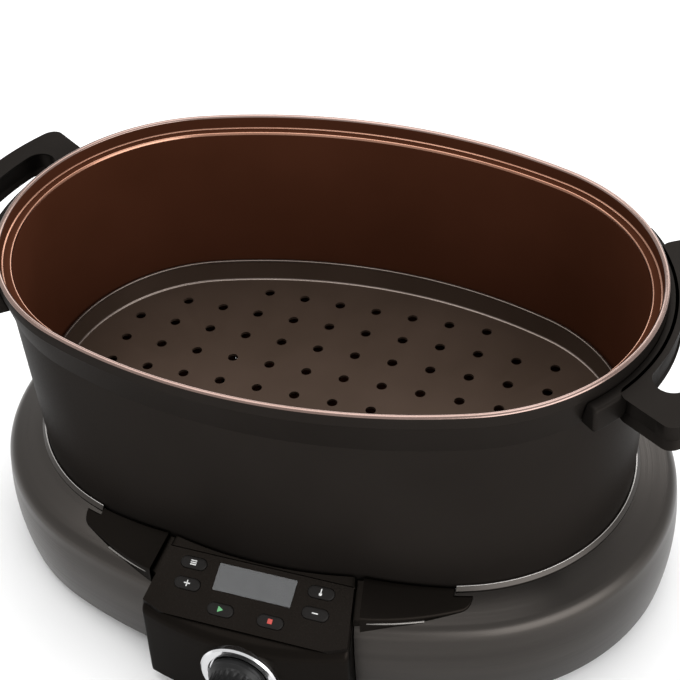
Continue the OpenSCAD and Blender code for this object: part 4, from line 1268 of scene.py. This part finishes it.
@dataclass
class Console:
    """The console: a nose with a sloping face between two thin wings."""

    oval: Oval = OVAL
    nose: Nose = NOSE
    off: float = 8.2              # inset of the rear edge, close to the pot
    brow: float = 7.0             # radius of the edge between the front and the face
    edge: float = 2.2             # radius of the nose's two side edges
    recess: float = 1.8           # depth of the recess for the panel
    recess_rear: float = -2.0     # where the recess ends, along the face
    rear_edge: float = 0.8
    seam: float = 3.8             # width of the seam between the nose and a wing
    seam_drop: float = 3.5
    seam_under: float = 5.5       # how far the seam's floor reaches under the nose
    seam_over: float = 3.0        # and under the wing
    seam_front: float = 1.5       # how far it stays behind the wing's outer edge
    seam_sheet: float = 6.0
    wing_radius: float = 200.0
    wing_centre: float = 58.4     # y of the wing's large arc's centre
    wing_span: float = 111.0
    wing_tip: float = 8.0
    wing_edge: float = 1.1
    wing_drop: Point = (14.0, 6.0)                     # how far its walls reach below its face
    wing_plane: Triple = (136.2, -0.251, 0.399)        # height at 0, 0 and its slopes by |x| and y
    ring_inner: float = 4.4
    ring_clear: float = 0.3
    bead: Point = (62.3, 90.0)                         # |x| of the bead's two ends
    window: Triple = (22.0, 7.5, -13.0)                # half width, half depth and middle, along
    well_low: float = -10.0       # the window's well, from here up, square to the face
    well_high: float = 6.0
    button_low: float = -5.8      # the same for the buttons' wells
    button_grow: float = 1.5      # how much wider a well is than its button

    def nose_section(self, x: np.ndarray, inset: float) -> np.ndarray:
        """The nose's section at each x: up the curved front, over the brow and back along the face.

        The face lies lower by the recess for the panel as far as a step near the pot.

        Args:
            x: distance from the middle at the panel's rear line, one for each section.
            inset: how far the section is drawn in.

        Returns:
            Points of shape (sections, points, 3), where x opens out with the splay.
        """
        nose, lip = self.nose, self.rear_edge
        sunk = inset + self.recess
        rear = (self.oval.edge_y(x, -self.off) - inset)[:, None]
        bow = nose.front_radius - np.sqrt(nose.front_radius ** 2 - x ** 2)
        front = (nose.front + bow + inset)[:, None]
        brow = self.brow - inset * 0.5
        cy = front + brow
        cz = nose.height(cy, sunk) - brow / math.cos(nose.slope)
        t = np.linspace(math.pi, math.pi / 2 + nose.slope, 10)
        arc_y, arc_z = cy + brow * np.cos(t), cz + brow * np.sin(t)
        step = nose.panel_y + self.recess_rear * math.cos(nose.slope) + 0 * rear
        sink = self.recess * math.sin(nose.slope)
        flat_y = arc_y[:, -1:] + (step + sink - arc_y[:, -1:]) * np.linspace(0, 1, 12)[1:]
        flat_z = nose.height(flat_y, sunk)
        top_y = np.concatenate([step, step + 0.2, rear - lip], axis=1)
        top_z = nose.height(top_y, inset) - np.array([0.2, 0.0, 0.0])
        turn = np.linspace(0, math.pi / 2, 4)[1:]
        rear_y = rear - lip + lip * np.sin(turn)
        rear_z = top_z[:, -1:] - lip * (1 - np.cos(turn))
        low = BASE_LOW + inset
        front_z = low + (cz - low) * np.linspace(0, 1, 8)[:-1]
        back_z = rear_z[:, -1:] + (low - rear_z[:, -1:]) * np.linspace(0, 1, 5)[1:]
        y = np.concatenate(
            [front + 0 * front_z, arc_y, flat_y, top_y, rear_y, rear + 0 * back_z], axis=1)
        z = np.concatenate([front_z, arc_z, flat_z, top_z, rear_z, back_z], axis=1)
        return np.stack([x[:, None] / nose.half * nose.half_at(y), y, z], axis=-1)

    def nose_grid(self) -> np.ndarray:
        """The nose, section by section across, with its two sides rounded.

        At a side edge the section is drawn in by the edge's radius times (1 - cos a), at the radius
        times sin a beyond where the rounding starts.

        Returns:
            The grid of points, sections by section points.
        """
        edge, half = self.edge, self.nose.half
        a = np.linspace(0, math.pi / 2, 7)[1:]
        middle = self.nose_section(np.linspace(edge - half, half - edge, 41), 0.0)
        ends = [(half - edge + edge * math.sin(t), edge * (1 - math.cos(t))) for t in a]
        left = [self.nose_section(np.array([-x]), inset)[0] for x, inset in reversed(ends)]
        right = [self.nose_section(np.array([x]), inset)[0] for x, inset in ends]
        return np.concatenate([np.array(left), middle, np.array(right)])

    @property
    def tip_start(self) -> float:
        """|x| where the wing's large arc meets its corner arc."""
        tip_x, inner_radius = self.wing_span - self.wing_tip, self.wing_radius - self.wing_tip
        return tip_x * self.wing_radius / inner_radius

    def wing_outer(self, x: float) -> float:
        """Y of the wing's outer edge: one large arc, then the round outer corner that it touches.

        Args:
            x: |x|.

        Returns:
            Y.
        """
        if x < self.tip_start:
            return self.wing_centre - math.sqrt(self.wing_radius ** 2 - x ** 2)
        tip_x = self.wing_span - self.wing_tip
        tip_y = self.wing_centre - math.sqrt((self.wing_radius - self.wing_tip) ** 2 - tip_x ** 2)
        return tip_y - math.sqrt(max(self.wing_tip ** 2 - (x - tip_x) ** 2, 0.0))

    def wing_height(self, x: np.ndarray, y: np.ndarray) -> np.ndarray:
        """Height of the wing's face at |x| and y."""
        c, by_x, by_y = self.wing_plane
        return c + by_x * x + by_y * y

    def wing_grid(self, side: int) -> np.ndarray:
        """A wing, section by section from the seam to its square end.

        At each |x| the section runs up the outer wall, round a small edge, over the face to the
        pot's side and down again. Its width follows the crescent between the pot's oval and the
        outer edge, and beyond the ring's end it stops short of the ring.

        Args:
            side: 1 for the right wing and -1 for the left.

        Returns:
            The grid of points.
        """
        start, tip_x = self.nose.half + self.seam, self.wing_span - self.wing_tip
        turn = np.linspace(math.asin((self.tip_start - tip_x) / self.wing_tip), math.pi / 2, 10)
        ring_end = RING_GAP - self.ring_clear
        # Small margins keep two sections from falling on one place, and the last from a point.
        stops = np.concatenate([
            np.linspace(start, ring_end - 0.01, 40), np.linspace(ring_end, self.tip_start - 0.2, 6),
            tip_x + (self.wing_tip - 0.02) * np.sin(turn)])
        t = np.linspace(0, math.pi / 2, 6)
        rows = []
        for x0 in stops:
            off = self.off if x0 < ring_end else self.ring_inner
            outer, inner = self.wing_outer(x0), float(self.oval.edge_y(np.array(x0), -off))
            e = min(self.wing_edge, (inner - outer) * 0.45)
            face = np.linspace(outer + e, inner - e, 9)[1:-1]
            y = np.concatenate([[outer, outer], outer + e * (1 - np.cos(t)), face,
                                inner - e * (1 - np.sin(t)), [inner, inner]])
            drop = np.concatenate([self.wing_drop, e * (1 - np.sin(t)), np.zeros(len(face)),
                                   e * (1 - np.cos(t)), self.wing_drop[::-1]])
            fade = 1 - (x0 - start) / (self.wing_span - start)
            x = x0 + (self.nose.panel_y - y) * self.nose.splay * fade
            rows.append(np.stack([side * x, y, self.wing_height(x0, y) - drop], axis=-1))
        return np.array(rows)

    def bead_grid(self, side: int) -> np.ndarray:
        """The bright bead along the wing's outer arc: a small rounded strip carried along it.

        Args:
            side: 1 for the right bead and -1 for the left.

        Returns:
            The grid of points, places by section points.
        """
        x = np.linspace(*self.bead, 60)
        section = rounded(
            [(0.05, -3.4, 0.2), (0.8, -3.4, 0.2), (0.8, -2.5, 0.3), (0.05, -2.5, 0.2)], 4)
        centre = np.array([0.0, self.wing_centre])
        outward = np.stack([x, -np.sqrt(self.wing_radius ** 2 - x ** 2)], 1) / self.wing_radius
        flat = centre + (self.wing_radius + section[None, :, 0:1]) * outward[:, None]
        z = self.wing_height(flat[..., 0], flat[..., 1]) + section[None, :, 1]
        return np.concatenate([flat, z[..., None]], axis=-1) * np.array([side, 1, 1])

    def floor_grid(self, side: int) -> np.ndarray:
        """A seam's floor: a strip that joins a wing to the nose, below their faces.

        Args:
            side: 1 for the right seam and -1 for the left.

        Returns:
            The grid of points, one rectangle for each x.
        """
        near = self.nose.half - self.seam_under
        far = self.nose.half + self.seam + self.seam_over
        x = side * np.linspace(near, far, 9)
        inner = self.oval.edge_y(x, -self.off)
        outer = self.wing_centre - np.sqrt(self.wing_radius ** 2 - x ** 2) + self.seam_front
        y = np.stack([outer, inner, inner, outer], 1)
        top = self.nose.height(y[:, :2], self.seam_drop)
        z = np.concatenate([top, top[:, ::-1] - self.seam_sheet], axis=1)
        return np.stack([np.broadcast_to(x[:, None], y.shape), y, z], axis=-1)

    def window_well(self) -> np.ndarray:
        """A block that is cut out of the nose under the window.

        Returns:
            The grid of points, one rectangle for each x.
        """
        half_x, half_y, middle = self.window
        low, high = self.well_low, self.well_high
        x = np.linspace(-half_x, half_x, 4)[:, None] * np.ones(4)
        along = middle + half_y * np.array([-1.0, 1.0, 1.0, -1.0]) + 0 * x
        return self.nose.spot(x, along, np.array([low, low, high, high]) + 0 * x)

    def button_well(self, button: "Button") -> np.ndarray:
        """A block that is cut out of the nose under a button, a little larger than its flange.

        Args:
            button: the button.

        Returns:
            The grid of points, levels by points of the outline.
        """
        outline = stadium(self.button_grow, button.length, button.width)
        up = np.array([self.button_low, 0.0, self.well_high])[:, None] + 0 * outline[:, 0]
        x, along = (button.spot[k] + outline[:, k] + 0 * up for k in (0, 1))
        return self.nose.spot(x, along, up)

    def build(self) -> None:
        """Builds the housing, with its wells cut out and its wings added, and the beads."""
        finish, smooth = Look.CONSOLE.material, CONSOLE_SMOOTH
        housing = Shell().grid(self.nose_grid()).make(
            "console_shell", "base", finish, smooth=smooth, merge=CONSOLE_WELD)
        wells = Shell().grid(self.window_well())
        for button in BUTTONS:
            wells.grid(self.button_well(button))
        cut_out(housing, wells, smooth)
        rest, beads = Shell(), Shell()
        for side in (-1, 1):
            rest.grid(self.floor_grid(side)).grid(self.wing_grid(side))
            beads.grid(self.bead_grid(side))
        wings = rest.make("console_wings", "base", finish, smooth=smooth, merge=CONSOLE_WELD)
        grow_by(housing, wings, smooth)
        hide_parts("console_housing")
        bead = beads.make("wing_beads", "base", Look.BEAD.material)
        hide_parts("console_bead")


# Controls and sensor spring

def stadium(grow: float, length: float, width: float, steps: int = 12) -> np.ndarray:
    """A bar's outline with round ends: two half circles about the ends' centres.

    Args:
        grow: how far the outline is grown on all sides.
        length: the bar's length over both ends.
        width: the bar's width.
        steps: number of segments in a half circle.

    Returns:
        The points, two columns.
    """
    half, radius = (length - width) / 2, width / 2 + grow
    turn = np.linspace(-math.pi / 2, math.pi / 2, steps + 1)
    right = np.stack([half + radius * np.cos(turn), radius * np.sin(turn)], 1)
    return np.concatenate([right, -right])


class Sign(Enum):
    """The raised signs on the buttons, as outlines in millimetres."""

    BARS = "bars"
    GAUGE = "gauge"
    PLUS = "plus"
    MINUS = "minus"
    START = "start"
    STOP = "stop"

    @property
    def outlines(self) -> list[np.ndarray]:
        """The outlines that make the sign.

        Returns:
            Their points, across and along the face.
        """
        bar = rounded([(1.7, 0.3, 0.1), (-1.7, 0.3, 0.1), (-1.7, -0.3, 0.1), (1.7, -0.3, 0.1)], 3)
        if self is Sign.BARS:
            return [bar + [0.0, y] for y in (-1.1, 0.0, 1.1)]
        if self is Sign.GAUGE:
            bulb = np.linspace(0, 2 * math.pi, 21)[:-1]
            return [bar[:, ::-1] * [-1.0, 0.8] + [0.0, 0.5],
                    0.85 * np.stack([np.cos(bulb), np.sin(bulb)], 1) - [0.0, 1.1]]
        if self is Sign.PLUS:
            return [bar, bar[:, ::-1] * [-1.0, 1.0]]
        if self is Sign.MINUS:
            return [bar]
        if self is Sign.START:
            return [rounded([(1.8, 0.0, 0.2), (-1.2, 1.7, 0.2), (-1.2, -1.7, 0.2)], 4)]
        return [rounded(
            [(1.3, 1.3, 0.2), (-1.3, 1.3, 0.2), (-1.3, -1.3, 0.2), (1.3, -1.3, 0.2)], 4)]


@dataclass(frozen=True)
class Button:
    """A push button with a flange under the panel, a crowned top, a stem and a raised sign."""

    name: str
    spot: Point
    sign: Sign
    ink: Look
    length: float = 14.6
    width: float = 6.6
    top: float = 1.72         # height of the crown over the panel
    sign_top: float = 1.88
    stem: float = 4.0         # the stem's width

    def level(self, outline: np.ndarray, up: float) -> np.ndarray:
        """An outline on the sloping face, at a height over the panel."""
        x, y = self.spot
        return NOSE.spot(x + outline[:, 0], y + outline[:, 1], np.full(len(outline), up))

    def build(self) -> None:
        """Builds the button as levels of its outline, with its stem and its sign.

        A level is how far the outline is grown, and its height over the panel.
        """
        flange = [(1.1, -3.1), (1.2, -3.0), (1.2, -2.1), (1.1, -2.0)]
        side = [(0.0, -1.95), (0.0, -0.5), (0.0, 1.0)]
        crown = [(-0.05, 1.3), (-0.25, 1.55), (-0.6, self.top - 0.02), (-1.6, self.top)]
        body = [self.level(stadium(grow, self.length, self.width), up)
                for grow, up in flange + side + crown]
        stem = [self.level(stadium(0.0, self.stem, self.stem, 10), up) for up in (-4.4, -3.7, -3.0)]
        shell = Shell().grid(np.array(body)).grid(np.array(stem))
        for outline in self.sign.outlines:
            low = self.level(outline, self.top - 0.3)
            high = self.level(outline, self.sign_top - 0.03)
            face = self.level(outline * 0.96, self.sign_top)
            shell.grid(np.array([low, high, face]), slot=1)
        key = shell.make(f"{self.name}_key", self.name, Look.BUTTON.material, self.ink.material)
        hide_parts(self.name)


@dataclass
class Knob:
    """The selector knob: a skirt, a fluted grip and a raised pointer."""

    radius: float = 16.0
    depth: float = 16.0
    back: float = -160.9          # y of the skirt's back
    z: float = 32.7
    flutes: int = 24
    flute: float = 0.55           # depth of a flute
    flute_rows: Point = (6.2, 0.9)     # where the flutes fade out, from the back and from the front
    fade: float = 0.8
    pointer: float = 8.6          # where the pointer's middle lies, out from the axis

    def wave(self, angle: np.ndarray, rows: np.ndarray) -> np.ndarray:
        """The flutes: half of one minus the cosine of the angle, fading at both ends of the grip.

        Args:
            angle: the angles about the axis.
            rows: the profile's radii and heights.

        Returns:
            The change of radius, angles by profile points.
        """
        height = rows[None, :, 1]
        low, high = self.flute_rows[0], self.depth - self.flute_rows[1]
        rear, front = (np.clip(way / self.fade, 0, 1) for way in (height - low, high - height))
        on_side = rows[None, :, 0] > self.radius - 3
        return -self.flute * (0.5 - 0.5 * np.cos(self.flutes * angle)) * (rear * front) * on_side

    def build(self) -> None:
        """Builds the knob about its axis, and the pointer as levels of its outline."""
        r, d = self.radius, self.depth
        profile = rounded([
            (0.01, 0.0, 0), (r - 0.4, 0.0, 0.3), (r, 0.5, 0.4), (r, 3.8, 0.5), (r - 1.7, 5.4, 0.8),
            (r - 2.0, 6.6, 0.6), (r - 2.1, 10.0, 0.0), (r - 2.2, d - 1.6, 0.3),
            (r - 2.5, d - 0.6, 0.6), (r - 3.6, d - 0.05, 0.8), (r - 9.0, d - 0.35, 2.0),
            (0.01, d - 0.35, 0)], 5, closed=False)
        axis = (0.0, self.back, self.z)
        grip = revolve(profile, axis, (0, -1, 0), self.flutes * 12, self.wave)
        bar = rounded([(0.9, 12.2, 0.5), (-0.9, 12.2, 0.5), (-0.9, 5.0, 0.5), (0.9, 5.0, 0.5)], 5)
        middle = np.array([0.0, self.pointer])
        levels = []
        for size, up in ((1.0, 0.8), (1.0, 0.15), (0.97, 0.02)):
            flat = middle + (bar - middle) * size
            y = np.full(len(bar), self.back - d + up)
            levels.append(np.stack([flat[:, 0], y, self.z + flat[:, 1]], 1))
        shell = Shell().grid(grip, loop_u=True, loop_v=False).grid(np.array(levels), slot=1)
        knob = shell.make("fluted_knob", "selector", Look.KNOB.material, Look.MARK.material,
                          smooth=GRIP_SMOOTH, merge=KNOB_WELD)
        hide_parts("selector_knob")


@dataclass
class SensorSpring:
    """The coil spring under the sensor's cap, which shortens as the cap is pressed."""

    low: float = 42.25        # height of the wire's middle at the foot
    high: float = 46.75       # and under the cap
    foot: float = 41.7
    radius: float = 7.2
    wire: float = 0.5
    turns: int = 3
    travel: float = 3.0

    def build(self) -> None:
        """Builds the wire: a circle carried along a helix of even rise."""
        share = np.linspace(0, 1, self.turns * 48 + 1)
        turn = 2 * math.pi * self.turns * share
        rise = self.low + (self.high - self.low) * share
        side = np.linspace(0, 2 * math.pi, 13)[:-1]
        reach = self.radius + self.wire * np.cos(side)
        x, y = np.cos(turn)[:, None] * reach, np.sin(turn)[:, None] * reach
        z = rise[:, None] + self.wire * np.sin(side)
        spring = Shell().grid(np.stack([x, y, z], axis=-1)).make(
            "coil_spring", "base", Look.STEEL.material)
        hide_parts("sensor_spring")
        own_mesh(spring)


BUTTONS = (
    Button("program_button", (-36.0, -9.0), Sign.BARS, Look.MARK),
    Button("temperature_button", (36.0, -9.0), Sign.GAUGE, Look.MARK),
    Button("plus_button", (-36.0, -20.5), Sign.PLUS, Look.MARK),
    Button("minus_button", (36.0, -20.5), Sign.MINUS, Look.MARK),
    Button("start_button", (-14.0, -30.0), Sign.START, Look.GREEN_MARK),
    Button("stop_button", (14.0, -30.0), Sign.STOP, Look.RED_MARK),
)


# Carried-over nodes

NODE_LOOKS: dict[Look, tuple[str, ...]] = {
    Look.BRACKET: ("left_handle_bracket", "right_handle_bracket"),
    Look.STEEL: ("handle_screws", "board_screws", "selector_shaft", "plate_posts", "sensor_guide",
                 "board_spacers", "cover_screws", "inlet_screws"),
    Look.BRIGHT: ("rack_stands", "dial_bezel"),
    Look.LINER: ("heating_well", "sensor_plunger", "heat_shield"),
    Look.PANEL: ("control_panel",),
    Look.WINDOW: ("display_window",),
    Look.DISPLAY: ("display_module",),
    Look.BOARD: ("control_board", "power_board"),
    Look.SWITCH: ("button_switches", "selector_encoder"),
    Look.CAST: ("heating_plate",),
    Look.OXIDE: ("heating_element",),
    Look.CERAMIC: ("thermal_fuse",),
    Look.RELAY: ("power_relay",),
    Look.WINDING: ("transformer",),
    Look.COVER: ("bottom_cover", "inlet_socket"),
    Look.RUBBER: ("rubber_feet",),
    Look.BRASS: ("inlet_pins",),
}


def dress_nodes(nodes: dict[str, bpy.types.Object]) -> None:
    """Gives the CAD nodes that no surface replaces their finishes.

    Args:
        nodes: the frame's nodes by name.
    """
    for look, names in NODE_LOOKS.items():
        for name in names:
            for slot in nodes[name].material_slots:
                slot.material = look.material
            LOG.info("dressed %s in %s", name, look.name)


# Studio

PAPER = Finish("studio_paper", (0.88, 0.88, 0.88), (0.90, 0.90, 0.90), (0.7, 0.8), grain=300.0)


@dataclass(frozen=True)
class Softbox:
    """A rectangular area light that faces a point."""

    name: str
    spot: Triple
    aim: Triple
    size: Point
    power: float

    def build(self) -> None:
        """Makes the light."""
        data = bpy.data.lights.new(self.name, "AREA")
        data.shape = "RECTANGLE"
        data.size, data.size_y = self.size
        data.energy = self.power
        light = bpy.data.objects.new(self.name, data)
        spot = Vector(self.spot)
        turn = (Vector(self.aim) - spot).to_track_quat("-Z", "Y")
        light.matrix_world = Matrix.Translation(spot) @ turn.to_matrix().to_4x4()
        bpy.context.scene.collection.objects.link(light)


SOFTBOXES = (
    Softbox("top_softbox", (-0.2, 0.3, 1.5), (0, 0, 0.1), (1.6, 1.2), 16),
    Softbox("right_softbox", (1.4, -0.9, 0.6), (0.1, 0, 0.12), (1.9, 1.2), 24),
    Softbox("rear_strip", (0.0, 1.5, 0.9), (0, 0, 0.18), (1.8, 0.5), 9),
)


@dataclass
class Studio:
    """The camera at the photograph's viewing angle, with soft light and a pale floor."""

    azimuth: float = 0.3713          # radians round from the front
    elevation: float = 0.6532
    roll: float = -0.0645
    distance: float = 0.86108        # metres from the target
    focal_px: float = 1601.6
    middle_px: Point = (322.06, 246.4)     # where the target lies in the picture
    side_px: float = 680.0
    target: Triple = (0.0, 0.0, 0.2)
    sensor: float = 36.0
    clip: Point = (0.05, 20.0)
    backdrop: float = 0.95
    half_floor: float = 6000.0

    def axes(self) -> tuple[Vector, Vector, Vector]:
        """The camera's right, up and backward directions.

        Returns:
            The three directions, each of length one.
        """
        a, e = self.azimuth, self.elevation
        back = Vector((math.sin(a) * math.cos(e), -math.cos(a) * math.cos(e), math.sin(e)))
        right = Vector((math.cos(a), math.sin(a), 0.0))
        up = back.cross(right)
        c, s = math.cos(self.roll), math.sin(self.roll)
        return c * right + s * up, -s * right + c * up, back

    def camera(self) -> None:
        """Makes the camera, whose shift puts the target where it lies in the picture."""
        right, up, back = self.axes()
        data = bpy.data.cameras.new("camera")
        data.sensor_width = self.sensor
        data.lens = self.focal_px * self.sensor / self.side_px
        data.shift_x = (self.side_px / 2 - self.middle_px[0]) / self.side_px
        data.shift_y = (self.middle_px[1] - self.side_px / 2) / self.side_px
        data.clip_start, data.clip_end = self.clip
        camera = bpy.data.objects.new("camera", data)
        turn = Matrix((right, up, back)).transposed().to_4x4()
        camera.matrix_world = Matrix.Translation(Vector(self.target) + back * self.distance) @ turn
        bpy.context.scene.collection.objects.link(camera)
        bpy.context.scene.camera = camera

    def world(self) -> None:
        """Makes the even white surroundings."""
        world = bpy.data.worlds.new("studio")
        bpy.context.scene.world = world
        world.use_nodes = True
        backdrop = world.node_tree.nodes["Background"]
        backdrop.inputs["Color"].default_value = (1, 1, 1, 1)
        backdrop.inputs["Strength"].default_value = self.backdrop
        bpy.context.scene.view_settings.view_transform = "Standard"

    def floor(self) -> None:
        """Makes the floor, a flat square of four faces."""
        x = np.linspace(-self.half_floor, self.half_floor, 3)
        flat = np.stack(np.meshgrid(x, x, indexing="ij") + [np.zeros((3, 3))], axis=-1)
        faces = [[k, k + 3, k + 4, k + 1] for k in (0, 1, 3, 4)]
        mesh = bpy.data.meshes.new("floor")
        mesh.from_pydata((flat.reshape(-1, 3) * MM).tolist(), [], faces)
        mesh.materials.append(PAPER.make())
        floor = bpy.data.objects.new("floor", mesh)
        bpy.context.scene.collection.objects.link(floor)

    def build(self) -> None:
        """Makes the camera, the lights, the world and the floor."""
        self.camera()
        for softbox in SOFTBOXES:
            softbox.build()
        self.world()
        self.floor()


def main() -> None:
    """Builds the sub-assemblies in order."""
    logging.basicConfig(level=logging.INFO, format="%(name)s: %(message)s")
    Studio().build()
    pot = Pot()
    pot.build()
    Rack().build()
    for side in (-1, 1):
        Handle(side, pot).build()
    Base().build()
    Console().build()
    for button in BUTTONS:
        button.build()
    Knob().build()
    SensorSpring().build()
    dress_nodes(frame["nodes"])


if __name__ == "__main__":
    main()
